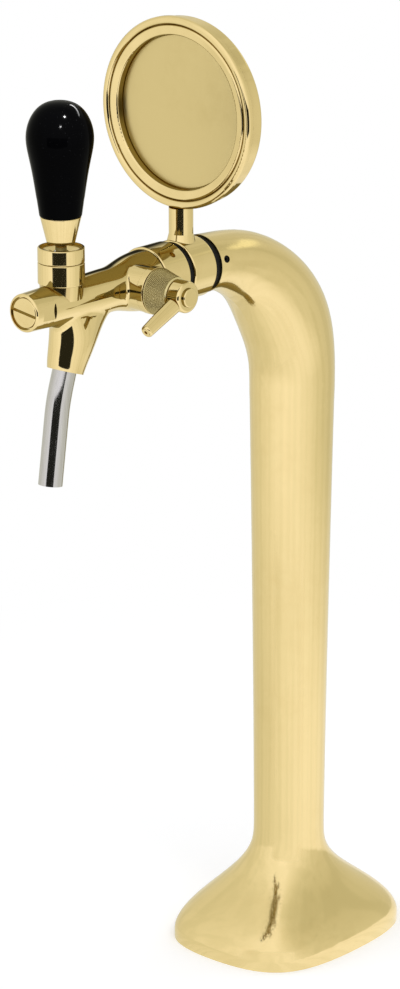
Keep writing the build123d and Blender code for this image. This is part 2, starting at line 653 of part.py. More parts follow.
# ---- Medallion ---------------------------------------------------------------------------
def medallion_stem():
    """Post between ring and housing, saddle-cut to both."""
    foot = TAP_HEIGHT + RING_RADIUS - STEM_OVERLAP
    top = MEDALLION_HEIGHT - MEDALLION_RADIUS + STEM_OVERLAP
    skirt_top = TAP_HEIGHT + RING_RADIUS + STEM_FOOT_HEIGHT
    post = rod(STEM, foot, top, STEM_RADIUS)
    post += taper(STEM, foot, skirt_top, STEM_RADIUS + STEM_FOOT_SPREAD, STEM_RADIUS)
    post -= rod(TAP, SEAL_FRONT - 5 * CUT, RING_FRONT + 5 * CUT, RING_RADIUS + SEAT_GAP)
    post -= rod(MEDALLION, SEAL_FRONT - 5 * CUT, RING_FRONT + 5 * CUT, MEDALLION_RADIUS + SEAT_GAP)
    return post - rod(STEM, foot - CUT, top + CUT, STEM_SCREW_RADIUS + THREAD_GAP)


def stem_screw():
    head_bottom = TAP_HEIGHT + SHANK_RADIUS + THREAD_GAP
    head_top = TAP_HEIGHT + SHANK_RADIUS + STEM_SCREW_HEAD_HEIGHT - SEAT_GAP
    tip = MEDALLION_HEIGHT - MEDALLION_RADIUS + STEM_SCREW_TIP
    return rod(STEM, head_bottom, head_top, STEM_SCREW_HEAD_RADIUS) + rod(
        STEM, head_bottom, tip, STEM_SCREW_RADIUS)


def medallion_housing():
    back = MEDALLION_FRONT - MEDALLION_DEPTH
    bead = MEDALLION_FRONT - RIM_BEAD_WIDTH
    side = MEDALLION_RADIUS - RIM_BEAD_HEIGHT
    cup = turned(MEDALLION, [
        (0, back + BACK_RECESS_DEPTH),
        (BACK_RECESS_RADIUS, back + BACK_RECESS_DEPTH),
        (BACK_RECESS_RADIUS, back, 0.8),
        (side, back, 2.4),
        (side, bead, 0.3),
        (MEDALLION_RADIUS, bead, 0.45),
        (MEDALLION_RADIUS, MEDALLION_FRONT, 2.0),
        (RIM_RADIUS, MEDALLION_FRONT, 1.9),
        (RIM_RADIUS, BADGE_FLOOR),
        (0, BADGE_FLOOR),
    ])
    screw_bottom = MEDALLION_HEIGHT - MEDALLION_RADIUS - CUT
    screw_top = MEDALLION_HEIGHT - MEDALLION_RADIUS + STEM_SCREW_TIP + 0.2
    return cup - rod(STEM, screw_bottom, screw_top, STEM_SCREW_RADIUS + THREAD_GAP)


def medallion_bezel():
    floor = BADGE_FLOOR + SEAT_GAP
    top = MEDALLION_FRONT - BEZEL_SETBACK
    return turned(MEDALLION, [
        (RECESS_RADIUS, floor),
        (BEZEL_RADIUS, floor),
        (BEZEL_RADIUS, top, 1.4),
        (RECESS_RADIUS, top - BEZEL_SLOPE, 1.2),
    ])


def badge_plate():
    floor = BADGE_FLOOR + SEAT_GAP
    face = BADGE_FLOOR + BADGE_THICKNESS
    radius = RECESS_RADIUS - BADGE_GAP
    return turned(MEDALLION, [
        (0, floor),
        (radius, floor),
        (radius, face, 0.4),
        (0, face),
    ])


# ---- Tap body ----------------------------------------------------------------------------
def tap_outside():
    curve = Spline(
        (BULB_REAR_RADIUS, BULB_REAR), (BULB_MIDDLE[1], SIDE_FORWARD + BULB_MIDDLE[0]),
        (BULB_FRONT[1], SIDE_FORWARD + BULB_FRONT[0]), (BARREL_RADIUS, BARREL_FORWARD),
        tangents=[(-0.05, 1), (-0.03, 1)],
    )
    taper_line = Line((BARREL_RADIUS, BARREL_FORWARD), (NOSE_RADIUS, NOSE_FORWARD))
    face_line = Polyline((NOSE_RADIUS, NOSE_FORWARD), (0, NOSE_FORWARD), (0, BULB_REAR),
                         (BULB_REAR_RADIUS, BULB_REAR))
    profile = make_face([curve, taper_line, face_line])
    nose = profile.vertices().sort_by_distance(Vector(NOSE_RADIUS, NOSE_FORWARD))[0]
    profile = fillet(nose, NOSE_ROUNDING)
    bulb = TAP * revolve(Plane.XZ * profile, Axis.Z)
    tail = rod(TAP, TAIL_END, FLANGE_FRONT, TAIL_FLANGE_RADIUS)
    tail += rod(TAP, TAIL_END, BULB_REAR, TAIL_NECK_RADIUS)
    return bulb + tail


def bonnet_boss():
    """Seat of the handle's joint: a band on a slightly slimmer neck."""
    inside_barrel = -BALL_RISE + 3.0
    return turned(HANDLE, [
        (0, inside_barrel),
        (BONNET_NECK_RADIUS, inside_barrel),
        (BONNET_NECK_RADIUS, BONNET_BAND_BOTTOM),
        (BONNET_RADIUS, BONNET_BAND_BOTTOM, 0.6),
        (BONNET_RADIUS, BONNET_SEAM, 0.6),
        (0, BONNET_SEAM),
    ])


def spout_boss():
    """Round at its mouth, and drawn out along the barrel at its root."""
    sections = []
    for rise, half_width, half_length, setback in SPOUT_BOSS_SECTIONS:
        sections.append(SPOUT * Pos(0, setback, rise) * oval(half_width, half_length, ROUND))
    return loft(sections)


def side_flats():
    """The pair of flat pads cut on the barrel's sides, for a spanner."""
    middle = SIDE_FLAT_SETBACK + SIDE_FLAT_LENGTH / 2 - NOSE_FORWARD
    cutters = None
    for side in (-1, 1):
        pad = Pos(side * (SIDE_FLAT_REACH + 5), middle, TAP_HEIGHT) * Box(
            10, SIDE_FLAT_LENGTH, 2 * SIDE_FLAT_HALF_HEIGHT)
        cutters = pad if cutters is None else cutters + pad
    return cutters


def tap_body():
    side_boss = rod(SIDE, 0, SIDE_BOSS_REACH - SEAT_GAP, SIDE_BOSS_RADIUS)
    body = blended_union(tap_outside(), spout_boss(), SPOUT_BLEND)
    body = blended_union(body, side_boss, SIDE_BLEND) + bonnet_boss()
    body -= side_flats()
    body -= rod(TAP, TAIL_END - CUT, SEAT_LIP_FORWARD, CHAMBER_RADIUS)
    body -= rod(TAP, SEAT_LIP_FORWARD - CUT, NOSE_FORWARD - PLUG_LENGTH, SEAT_LIP_BORE)
    lip_front = SEAT_LIP_FORWARD + SEAT_LIP_WIDTH
    body -= rod(TAP, lip_front, NOSE_FORWARD - PLUG_LENGTH - PLUG_RECESS, VALVE_BORE)
    body -= rod(TAP, NOSE_FORWARD - PLUG_LENGTH - PLUG_RECESS, NOSE_FORWARD + CUT,
                PLUG_RADIUS + THREAD_GAP)
    body -= rod(TAP, NOSE_FORWARD - PLUG_MOAT_DEPTH, NOSE_FORWARD + CUT, PLUG_RADIUS + PLUG_MOAT)
    body -= rod(HANDLE, -BALL_RISE, BALL_POCKET_BOTTOM, VALVE_BORE + 0.2)
    body -= rod(HANDLE, BALL_POCKET_BOTTOM, BONNET_SEAM + CUT, BALL_POCKET_RADIUS)
    body -= rod(SPOUT, -CUT, SPOUT_SOCKET, SPOUT_RADIUS + THREAD_GAP)
    body -= rod(SPOUT, SPOUT_SOCKET - CUT, SPOUT_MOUTH_TO_AXIS, SPOUT_RADIUS - SPOUT_WALL)
    groove = SPOUT_SOCKET - SPOUT_ORING_SETBACK
    body -= rod(SPOUT, groove - ORING_SECTION - SEAT_GAP, groove + ORING_SECTION + SEAT_GAP,
                SPOUT_RADIUS + 2 * ORING_SECTION + 2 * SEAT_GAP)
    body -= rod(SIDE, 0, SIDE_BOSS_REACH + CUT, GLAND_PLUG_RADIUS + THREAD_GAP)
    return body


def front_plug():
    face = NOSE_FORWARD - PLUG_RECESS
    rear = NOSE_FORWARD - PLUG_LENGTH - PLUG_RECESS + SEAT_GAP
    plug = turned(TAP, [(0, rear), (PLUG_RADIUS, rear), (PLUG_RADIUS, face, 0.7), (0, face)])
    plug += rod(TAP, GUIDE_FORWARD, rear + CUT, GUIDE_RADIUS)
    plug -= rod(TAP, GUIDE_FORWARD - CUT, GUIDE_FORWARD + GUIDE_DEPTH, ROD_RADIUS + SPINDLE_GAP)
    slot = Box(3 * PLUG_RADIUS, PLUG_SLOT_WIDTH, 2 * PLUG_SLOT_DEPTH)
    return plug - TAP * Pos(0, 0, face) * Rot(0, 0, PLUG_SLOT_ANGLE) * slot


def plug_oring():
    along = NOSE_FORWARD - PLUG_LENGTH - PLUG_RECESS - ORING_SECTION - SEAT_GAP
    return ring_torus(TAP, along, GUIDE_RADIUS + ORING_SECTION + SEAT_GAP, ORING_SECTION)


# ---- Valve -------------------------------------------------------------------------------
def valve_plunger():
    """Rod with an eye for the lever's finger, relieved ahead of the finger's shank."""
    rear = SEAT_LIP_FORWARD - VALVE_WASHER_THICKNESS - VALVE_NUT_THICKNESS - ROD_TAIL
    plunger = rod(TAP, rear, ROD_FRONT, ROD_RADIUS)
    plunger += rod(TAP, HANDLE_FORWARD - EYE_LENGTH / 2, HANDLE_FORWARD + EYE_LENGTH / 2, EYE_RADIUS)
    half_slot = FINGER_TIP_RADIUS + EYE_SLOT_GAP
    tip = Pos(0, -HANDLE_FORWARD, TAP_HEIGHT)
    slot = Box(2 * half_slot, 2 * half_slot, 2 * EYE_RADIUS)
    plunger -= tip * Pos(0, 0, EYE_RADIUS - FINGER_TIP_RADIUS - EYE_FLOOR) * slot
    relief = Box(2 * half_slot, half_slot + EYE_RELIEF, 2 * EYE_RADIUS)
    forward = (half_slot + EYE_RELIEF) / 2
    return plunger - tip * Pos(0, -forward, EYE_RADIUS + EYE_RELIEF_RISE) * relief


def valve_washer():
    rear = SEAT_LIP_FORWARD - VALVE_WASHER_THICKNESS
    return tube(TAP, rear + SEAT_GAP, SEAT_LIP_FORWARD - SEAT_GAP, VALVE_WASHER_RADIUS,
                ROD_RADIUS + THREAD_GAP)


def valve_nut():
    front = SEAT_LIP_FORWARD - VALVE_WASHER_THICKNESS
    hexagon = TAP * Pos(0, 0, front - VALVE_NUT_THICKNESS) * extrude(
        RegularPolygon(VALVE_NUT_RADIUS, 6), VALVE_NUT_THICKNESS)
    return hexagon - rod(TAP, front - VALVE_NUT_THICKNESS - CUT, front + CUT, ROD_RADIUS + THREAD_GAP)


# ---- Handle ------------------------------------------------------------------------------
def ball_seat():
    """Ring under the ball, with a skirt that leaves room for the finger."""
    seat = rod(HANDLE, BALL_POCKET_BOTTOM + SEAT_GAP, SEAT_TOP, BALL_POCKET_RADIUS - THREAD_GAP)
    contact = -(BALL_RADIUS ** 2 - SEAT_CONTACT_RADIUS ** 2) ** 0.5
    seat -= ball(HANDLE, 0, BALL_RADIUS + BALL_GAP)
    seat -= taper(HANDLE, BALL_POCKET_BOTTOM, contact, SEAT_SKIRT_RADIUS, SEAT_CONTACT_RADIUS)
    return seat


def bonnet_oring():
    along = SEAT_TOP + ORING_SECTION + SEAT_GAP
    return ring_torus(HANDLE, along, BALL_POCKET_RADIUS - ORING_SECTION - SEAT_GAP, ORING_SECTION)


def bonnet_nut():
    """Ring that holds the ball down, with an open cup for the handle to tilt in."""
    spigot = SEAT_TOP + 2 * ORING_SECTION + 3 * SEAT_GAP
    nut = turned(HANDLE, [
        (0, spigot),
        (BALL_POCKET_RADIUS - THREAD_GAP, spigot),
        (BALL_POCKET_RADIUS - THREAD_GAP, BONNET_SEAM + SEAT_GAP),
        (BONNET_RADIUS, BONNET_SEAM + SEAT_GAP, 0.6),
        (BONNET_RADIUS, BONNET_TOP, 0.7),
        (CUP_RADIUS, BONNET_TOP),
        (CUP_RADIUS, BONNET_TOP - CUP_WALL_DEPTH),
        (THROAT_RADIUS, THROAT),
        (0, THROAT),
    ])
    return nut - ball(HANDLE, 0, BALL_RADIUS + BALL_GAP)


def lever():
    """Steel stem: finger below, ball at the pivot, threaded stem above."""
    finger = rod(HANDLE, -BALL_RISE, 0, FINGER_RADIUS)
    finger += ball(HANDLE, -BALL_RISE, FINGER_TIP_RADIUS)
    neck = rod(HANDLE, 0, FERRULE_BOTTOM, STEM_NECK_RADIUS)
    stem = rod(HANDLE, FERRULE_BOTTOM, LEVER_STEM_TOP, LEVER_STEM_RADIUS)
    return finger + ball(HANDLE, 0, BALL_RADIUS) + neck + stem


def handle_ferrule():
    cone = turned(HANDLE, [
        (0, FERRULE_BOTTOM),
        (FERRULE_BOTTOM_RADIUS, FERRULE_BOTTOM, 0.7),
        (FERRULE_TOP_RADIUS, FERRULE_TOP, 0.5),
        (0, FERRULE_TOP),
    ])
    return cone - rod(HANDLE, FERRULE_BOTTOM - CUT, FERRULE_TOP + CUT, LEVER_STEM_RADIUS + THREAD_GAP)


def handle_grip():
    """Pear: a slim tapering side and a domed crown."""
    bottom = FERRULE_TOP + SEAT_GAP
    side = Spline((0, GRIP_TOP), *GRIP_SIDE, (GRIP_BOTTOM_RADIUS, bottom),
                  tangents=[(1, 0), (-0.14, -1)])
    rest = Polyline((GRIP_BOTTOM_RADIUS, bottom), (0, bottom), (0, GRIP_TOP))
    profile = make_face([side, rest])
    edge = profile.vertices().sort_by_distance(Vector(GRIP_BOTTOM_RADIUS, bottom))[0]
    pear = HANDLE * revolve(Plane.XZ * fillet(edge, GRIP_ROUNDING), Axis.Z)
    return pear - rod(HANDLE, bottom - CUT, bottom + INSERT_LENGTH, INSERT_RADIUS + THREAD_GAP)


def grip_insert():
    bottom = FERRULE_TOP + SEAT_GAP
    top = bottom + INSERT_LENGTH - SEAT_GAP
    return rod(HANDLE, bottom, top, INSERT_RADIUS) - rod(
        HANDLE, bottom - CUT, LEVER_STEM_TOP + 0.5, LEVER_STEM_RADIUS + THREAD_GAP)


# ---- Spout -------------------------------------------------------------------------------
def spout_path():
    side = Plane(origin=(0, 0, 0), x_dir=(0, -1, 0), z_dir=(-1, 0, 0))
    lean = radians(SPOUT_TILT)
    end_lean = radians(SPOUT_END_TILT)
    start = Vector(SPOUT_MOUTH[0] - SPOUT_SOCKET * sin(lean), SPOUT_MOUTH[1] + SPOUT_SOCKET * cos(lean))
    knee = start + Vector(sin(lean), -cos(lean)) * (SPOUT_SOCKET + SPOUT_STRAIGHT)
    centre = knee - Vector(cos(lean), sin(lean)) * SPOUT_BEND_RADIUS
    ankle = centre + Vector(cos(end_lean), sin(end_lean)) * SPOUT_BEND_RADIUS
    run = (ankle.Y - TAP_HEIGHT + SPOUT_END_DROP) / cos(end_lean)
    end = ankle + Vector(sin(end_lean), -cos(end_lean)) * run
    bend = CenterArc((centre.X, centre.Y), SPOUT_BEND_RADIUS, SPOUT_TILT, SPOUT_END_TILT - SPOUT_TILT)
    return side * Wire([Line(start, knee), bend, Line(ankle, end)])


def spout_tube():
    return pipe(spout_path(), SPOUT_RADIUS, SPOUT_WALL)


def spout_oring():
    along = SPOUT_SOCKET - SPOUT_ORING_SETBACK
    return ring_torus(SPOUT, along, SPOUT_RADIUS + ORING_SECTION + SEAT_GAP, ORING_SECTION)


# ---- Compensator -------------------------------------------------------------------------
def compensator_cone():
    """Torpedo that throttles the flow, with a fluted collar as its guide."""
    front = SIDE_FORWARD + CONE_COLLAR_LENGTH / 2
    rear = SIDE_FORWARD - CONE_COLLAR_LENGTH / 2
    tip = SIDE_FORWARD - CONE_TIP_SETBACK
    waist = METER_BORE_FRONT - CONE_GAP
    cone = turned(TAP, [
        (0, tip),
        (CONE_TIP_RADIUS, tip, CONE_TIP_ROUNDING),
        (waist, TAIL_END + METER_LENGTH - CONE_SETBACK),
        (waist, rear),
        (CONE_COLLAR_RADIUS, rear),
        (CONE_COLLAR_RADIUS, front),
        (0, front),
    ])
    for angle in around(CONE_FLUTES, 45):
        turn = radians(angle)
        flute = Plane(origin=(CONE_COLLAR_RADIUS * sin(turn), 0,
                              TAP_HEIGHT + CONE_COLLAR_RADIUS * cos(turn)), z_dir=(0, -1, 0))
        cone -= rod(flute, rear - CUT, front + CUT, CONE_FLUTE_RADIUS)
    slot_height = 2 * (PIN_OFFSET + PIN_RADIUS + PIN_END_GAP)
    slot_width = 2 * (PIN_RADIUS + PIN_SIDE_GAP)
    slot = Box(2 * PIN_LENGTH + 1.0, slot_width, slot_height)
    return cone - Pos(CONE_COLLAR_RADIUS, -SIDE_FORWARD, TAP_HEIGHT) * slot


def metering_sleeve():
    rear = TAIL_END + SEAT_GAP
    front = TAIL_END + METER_LENGTH
    return turned(TAP, [
        (METER_BORE_REAR, rear),
        (CHAMBER_RADIUS - THREAD_GAP, rear),
        (CHAMBER_RADIUS - THREAD_GAP, front),
        (METER_BORE_FRONT, front),
    ])


def compensator_gland():
    flange_rear = SIDE_BOSS_REACH
    flange_front = SIDE_BOSS_REACH + GLAND_FLANGE
    gland = turned(SIDE, [
        (0, flange_rear - GLAND_PLUG_LENGTH),
        (GLAND_PLUG_RADIUS, flange_rear - GLAND_PLUG_LENGTH),
        (GLAND_PLUG_RADIUS, flange_rear),
        (GLAND_RADIUS, flange_rear, 0.4),
        (GLAND_RADIUS, flange_front, 0.4),
        (0, flange_front),
    ])
    gland -= rod(SIDE, 0, flange_front + CUT, SPINDLE_RADIUS + SPINDLE_GAP)
    groove_rear = flange_rear - GROOVE_SETBACK
    groove = tube(SIDE, groove_rear, groove_rear + 2 * (ORING_SECTION + SEAT_GAP),
                  SPINDLE_RADIUS + 2 * (ORING_SECTION + 2 * SEAT_GAP), SPINDLE_RADIUS)
    return gland - groove


def spindle_oring():
    along = SIDE_BOSS_REACH - GROOVE_SETBACK + ORING_SECTION + SEAT_GAP
    return ring_torus(SIDE, along, SPINDLE_RADIUS + ORING_SECTION + 2 * SEAT_GAP, ORING_SECTION)


def compensator_spindle():
    """Steel spindle with an eccentric pin at its inner end."""
    inner = CONE_COLLAR_RADIUS + PIN_END_GAP
    spindle = rod(SIDE, inner, SPINDLE_END, SPINDLE_RADIUS)
    collar_front = SIDE_BOSS_REACH - GLAND_PLUG_LENGTH - COLLAR_GAP
    spindle += rod(SIDE, collar_front - COLLAR_WIDTH, collar_front, SPINDLE_RADIUS + COLLAR_MARGIN)
    pin = Pos(0, 0, PIN_OFFSET) * rod(SIDE, inner - PIN_LENGTH, inner + CUT, PIN_RADIUS)
    spindle += pin
    return spindle - rod(SIDE, SPINDLE_END - CAP_SCREW_LENGTH, SPINDLE_END + CUT,
                         CAP_SCREW_RADIUS + THREAD_GAP)


def compensator_knob():
    """Knurled cone that turns with the lever."""
    rear = SIDE_BOSS_REACH + GLAND_FLANGE + KNOB_GAP
    front = rear + KNOB_LENGTH
    return turned(SIDE, [
        (SPINDLE_RADIUS + THREAD_GAP, rear),
        (GLAND_RADIUS, rear, KNOB_ROUNDING),
        (KNOB_FRONT_RADIUS, front, KNOB_ROUNDING),
        (SPINDLE_RADIUS + THREAD_GAP, front),
    ])


def rod_frame():
    drop = radians(LEVER_ROD_DROP)
    return Plane(origin=(HUB_MIDDLE, -SIDE_FORWARD, TAP_HEIGHT), x_dir=(1, 0, 0),
                 z_dir=(0, -cos(drop), -sin(drop)))


def lever_hub():
    front = HUB_REAR + HUB_LENGTH
    hub = turned(SIDE, [
        (SPINDLE_RADIUS + THREAD_GAP, HUB_REAR),
        (HUB_RADIUS, HUB_REAR, 0.8),
        (HUB_RADIUS, front, HUB_ROUNDING),
        (SPINDLE_RADIUS + THREAD_GAP, front),
    ])
    return hub - rod(rod_frame(), HUB_RADIUS - LEVER_SOCKET, HUB_RADIUS + CUT, LEVER_ROD_END_RADIUS)


def lever_rod():
    spigot = HUB_RADIUS - LEVER_SOCKET + SEAT_GAP
    shoulder = HUB_RADIUS + 0.2
    arm = turned(rod_frame(), [
        (0, spigot),
        (LEVER_ROD_END_RADIUS - THREAD_GAP, spigot),
        (LEVER_ROD_END_RADIUS - THREAD_GAP, shoulder),
        (LEVER_ROD_RADIUS, shoulder, 0.3),
        (LEVER_ROD_END_RADIUS, LEVER_ROD_LENGTH, 1.2),
        (0, LEVER_ROD_LENGTH),
    ])
    return arm - rod(rod_frame(), LEVER_ROD_LENGTH - SOCKET_DEPTH, LEVER_ROD_LENGTH + CUT, SOCKET_RADIUS)


def hub_screw():
    face = HUB_REAR + HUB_LENGTH + SEAT_GAP
    cap = turned(SIDE, [(0, face), (CAP_RADIUS, face), (CAP_RADIUS, face + CAP_HEIGHT, 0.7),
                        (0, face + CAP_HEIGHT)])
    return cap + rod(SIDE, SPINDLE_END - CAP_SCREW_LENGTH + SEAT_GAP, face + CUT, CAP_SCREW_RADIUS)


# ---- Files -------------------------------------------------------------------------------
NODES = {
    "column_shell": column_shell,
    "neck_set_screw": neck_set_screw,
    "base_plate": base_plate,
    "base_gasket": base_gasket,
    "base_screws": base_screws,
    "beer_line": beer_line,
    "line_clip": line_clip,
    "coolant_loop": coolant_loop,
    "insulation_core": insulation_core,
    "shank": shank,
    "neck_seal": neck_seal,
    "medallion_ring": medallion_ring,
    "ring_set_screw": ring_set_screw,
    "medallion_stem": medallion_stem,
    "stem_screw": stem_screw,
    "medallion_housing": medallion_housing,
    "medallion_bezel": medallion_bezel,
    "badge_plate": badge_plate,
    "coupling_seal": coupling_seal,
    "coupling_nut": coupling_nut,
    "tail_washer": tail_washer,
    "tap_body": tap_body,
    "front_plug": front_plug,
    "plug_oring": plug_oring,
    "valve_plunger": valve_plunger,
    "valve_washer": valve_washer,
    "valve_nut": valve_nut,
    "ball_seat": ball_seat,
    "bonnet_oring": bonnet_oring,
    "bonnet_nut": bonnet_nut,
    "lever": lever,
    "handle_ferrule": handle_ferrule,
    "handle_grip": handle_grip,
    "grip_insert": grip_insert,
    "spout_tube": spout_tube,
    "spout_oring": spout_oring,
    "compensator_cone": compensator_cone,
    "metering_sleeve": metering_sleeve,
    "compensator_gland": compensator_gland,
    "spindle_oring": spindle_oring,
    "compensator_spindle": compensator_spindle,
    "compensator_knob": compensator_knob,
    "lever_hub": lever_hub,
    "lever_rod": lever_rod,
    "hub_screw": hub_screw,
}

os.makedirs("parts", exist_ok=True)
for name, make in NODES.items():
    export_step(make(), f"parts/{name}.step")
print(f"valve stroke {STROKE:.2f} mm, pieces {len(NODES)}")
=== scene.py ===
# %% [markdown]
# # A gold beer tower with a compensator tap
# The tower is one polished and gold-plated casting: a flared foot, a column and a gooseneck.
# A tap hangs on its neck, with a round badge holder above it. The solids come ready made from
# the CAD model, so this lesson is about finish: what polish, plating, rubber and lacquer look
# like, and how a studio is set up so that polished metal has something to reflect.

import math

import bmesh
import bpy
from mathutils import Matrix, Vector


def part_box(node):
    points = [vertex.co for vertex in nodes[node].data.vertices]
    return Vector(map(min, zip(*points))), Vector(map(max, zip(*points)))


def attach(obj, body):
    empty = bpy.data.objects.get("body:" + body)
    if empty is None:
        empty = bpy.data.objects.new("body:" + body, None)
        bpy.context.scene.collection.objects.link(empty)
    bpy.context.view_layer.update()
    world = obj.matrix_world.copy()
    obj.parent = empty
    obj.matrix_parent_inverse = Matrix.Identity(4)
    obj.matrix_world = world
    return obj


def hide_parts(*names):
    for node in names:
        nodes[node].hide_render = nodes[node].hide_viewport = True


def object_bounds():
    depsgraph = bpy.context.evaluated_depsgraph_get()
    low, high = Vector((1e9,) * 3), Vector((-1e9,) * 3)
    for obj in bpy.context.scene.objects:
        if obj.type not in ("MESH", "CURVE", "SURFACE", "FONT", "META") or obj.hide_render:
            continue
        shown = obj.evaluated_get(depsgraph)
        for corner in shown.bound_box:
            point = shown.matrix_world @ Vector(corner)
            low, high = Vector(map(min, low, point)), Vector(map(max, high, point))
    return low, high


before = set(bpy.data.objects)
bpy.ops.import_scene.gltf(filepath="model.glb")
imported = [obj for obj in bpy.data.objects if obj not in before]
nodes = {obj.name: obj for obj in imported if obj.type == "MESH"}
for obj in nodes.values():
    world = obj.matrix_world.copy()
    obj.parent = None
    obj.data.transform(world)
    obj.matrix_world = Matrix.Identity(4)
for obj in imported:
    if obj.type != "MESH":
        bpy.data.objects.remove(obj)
cad_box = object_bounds()
print("CAD box, metres:", [[round(v, 4) for v in corner] for corner in cad_box])
print("CAD nodes:", len(nodes))

# %% [markdown]
# ## The camera
# A long lens far away keeps the column straight and the round badge holder from bulging. The
# camera is placed higher than the tower and to the right of the tap, looking down.

# %% Place the camera
CAMERA_PLACE = (1.329, -1.631, 0.928)
CAMERA_LOOKS_DOWN = 17.47
CAMERA_TURN = 40.59
LENS = 140.8
SENSOR_WIDTH = 36

scene = bpy.context.scene
camera_data = bpy.data.cameras.new("studio_camera")
camera_data.lens = LENS
camera_data.sensor_width = SENSOR_WIDTH
camera = bpy.data.objects.new("studio_camera", camera_data)
camera.location = CAMERA_PLACE
camera.rotation_euler = (
    math.radians(90 - CAMERA_LOOKS_DOWN),
    0,
    math.radians(CAMERA_TURN),
)
scene.collection.objects.link(camera)
scene.camera = camera
scene.view_settings.view_transform = "Standard"
print("camera at", CAMERA_PLACE, "lens", LENS)

# %% [markdown]
# ## A small kit for nodes
# Materials and the studio are built from node trees. Most of a tree is sums, blends and soft
# noise, so each of these gets a short helper, and an effect that several trees share becomes a
# node group with named sockets.

# %% Helpers for node trees


def new_group(name, inputs, outputs):
    """An empty shader group with named sockets. A socket is (name, kind, default)."""
    group = bpy.data.node_groups.new(name, "ShaderNodeTree")
    for title, kind, default in inputs:
        socket = group.interface.new_socket(title, in_out="INPUT", socket_type=kind)
        socket.default_value = default
    for title, kind in outputs:
        group.interface.new_socket(title, in_out="OUTPUT", socket_type=kind)
    start = group.nodes.new("NodeGroupInput")
    end = group.nodes.new("NodeGroupOutput")
    return group, start, end


def feed(tree, value, socket):
    """Gives a socket its value: another node's output, or a plain number or colour."""
    if isinstance(value, bpy.types.NodeSocket):
        tree.links.new(value, socket)
    else:
        socket.default_value = value


def math_node(tree, operation, *values):
    """One sum. Each value is a socket or a plain number."""
    node = tree.nodes.new("ShaderNodeMath")
    node.operation = operation
    for place, value in enumerate(values):
        feed(tree, value, node.inputs[place])
    return node.outputs[0]


def vector_node(tree, operation, *values):
    """One sum with places or directions. A length or a dot product comes out as a number."""
    node = tree.nodes.new("ShaderNodeVectorMath")
    node.operation = operation
    for place, value in enumerate(values):
        feed(tree, value, node.inputs[place])
    return node.outputs["Value" if operation in ("LENGTH", "DOT_PRODUCT") else "Vector"]


def remap(tree, value, low, high, new_low=0.0, new_high=1.0):
    """A value between low and high, stretched to new_low and new_high and clamped there."""
    node = tree.nodes.new("ShaderNodeMapRange")
    numbers = {"From Min": low, "From Max": high, "To Min": new_low, "To Max": new_high}
    tree.links.new(value, node.inputs["Value"])
    for title, number in numbers.items():
        feed(tree, number, node.inputs[title])
    return node.outputs["Result"]


def blend_colours(tree, share, first, second):
    """Two colours mixed by a share from 0 to 1."""
    node = tree.nodes.new("ShaderNodeMix")
    node.data_type = "RGBA"
    tree.links.new(share, node.inputs["Factor"])
    for title, value in (("A", first), ("B", second)):
        socket = [s for s in node.inputs if s.name == title and s.type == "RGBA"][0]
        feed(tree, value, socket)
    return [s for s in node.outputs if s.type == "RGBA"][0]


def cloud(tree, place, scale, detail=3.0, rough=0.5):
    """Soft noise of that many clouds to the metre."""
    node = tree.nodes.new("ShaderNodeTexNoise")
    tree.links.new(place, node.inputs["Vector"])
    feed(tree, scale, node.inputs["Scale"])
    node.inputs["Detail"].default_value = detail
    node.inputs["Roughness"].default_value = rough
    return node.outputs["Fac"]


def object_place(tree):
    """Where a point is on the object, in metres."""
    return tree.nodes.new("ShaderNodeTexCoord").outputs["Object"]


def stretched(tree, place, factors):
    """The place with each direction stretched, so that noise becomes streaks."""
    return vector_node(tree, "MULTIPLY", place, factors)


def grey(level):
    """A colour without a hue, where 1 is white."""
    return (level, level, level, 1)


print("node helpers ready")

# %% [markdown]
# ## What polished metal sees
# Polished metal is a mirror: its colour is the colour of the metal times the brightness of the
# room. So the room is the light, and it is made as a tent of white cloth. The cloth is
# brightest behind the camera, where the window is. It falls off slowly to both sides and
# behind the tower, and the right side is darker still high up. It gets a little warmer as it
# gets darker, and it hangs in folds, which draw faint upright lines in a polished column. The
# floor close to the tower has light of its own: it is brightest on the tower's right and
# dimmest on its left.

# %% How bright the tent is
WINDOW_SIDE = (0.574, -0.819, 0.0)
SHADE_SIDE = (0.819, 0.574, 0.0)
# Brightness of the walls, where 1 is white, and what each side adds to it.
WALLS = 0.79
WALLS_WINDOW = 0.17
WALLS_BOTH_ENDS = 0.085
WALLS_SHADE = -0.045
# How much darker the walls get high up on the shade side, and from where to where.
OVERHEAD_SHADE = 0.1
OVERHEAD_STARTS, OVERHEAD_ENDS = 0.05, 0.75
# The same for the floor close to the tower.
CLOSE = 0.88
CLOSE_WINDOW = 0.06
CLOSE_SHADE = 0.12
# Folds are clouds drawn out upright: (how many, where a fold starts, where it is full).
FOLD_STRETCH = (1, 1, 0.12)
FOLDS = ((4.5, 0.46, 0.56), (17.0, 0.6, 0.66))
FOLD_DEPTH = 0.055
# Blue is the brightness times this share, plus this rise with the brightness.
BLUE_SHARE, BLUE_RISE = 0.55, 0.45
print("walls facing the window:", round(WALLS + WALLS_WINDOW + WALLS_BOTH_ENDS, 3))
print("walls behind the tower:", round(WALLS - WALLS_WINDOW + WALLS_BOTH_ENDS, 3))

# %% [markdown]
# One group gives that brightness for a direction, and both the walls and the floor use it, so
# no seam shows between them in the metal. Near is 0 for the walls and 1 for the floor close to
# the tower. Share makes the whole tent darker.

# %% The tent group


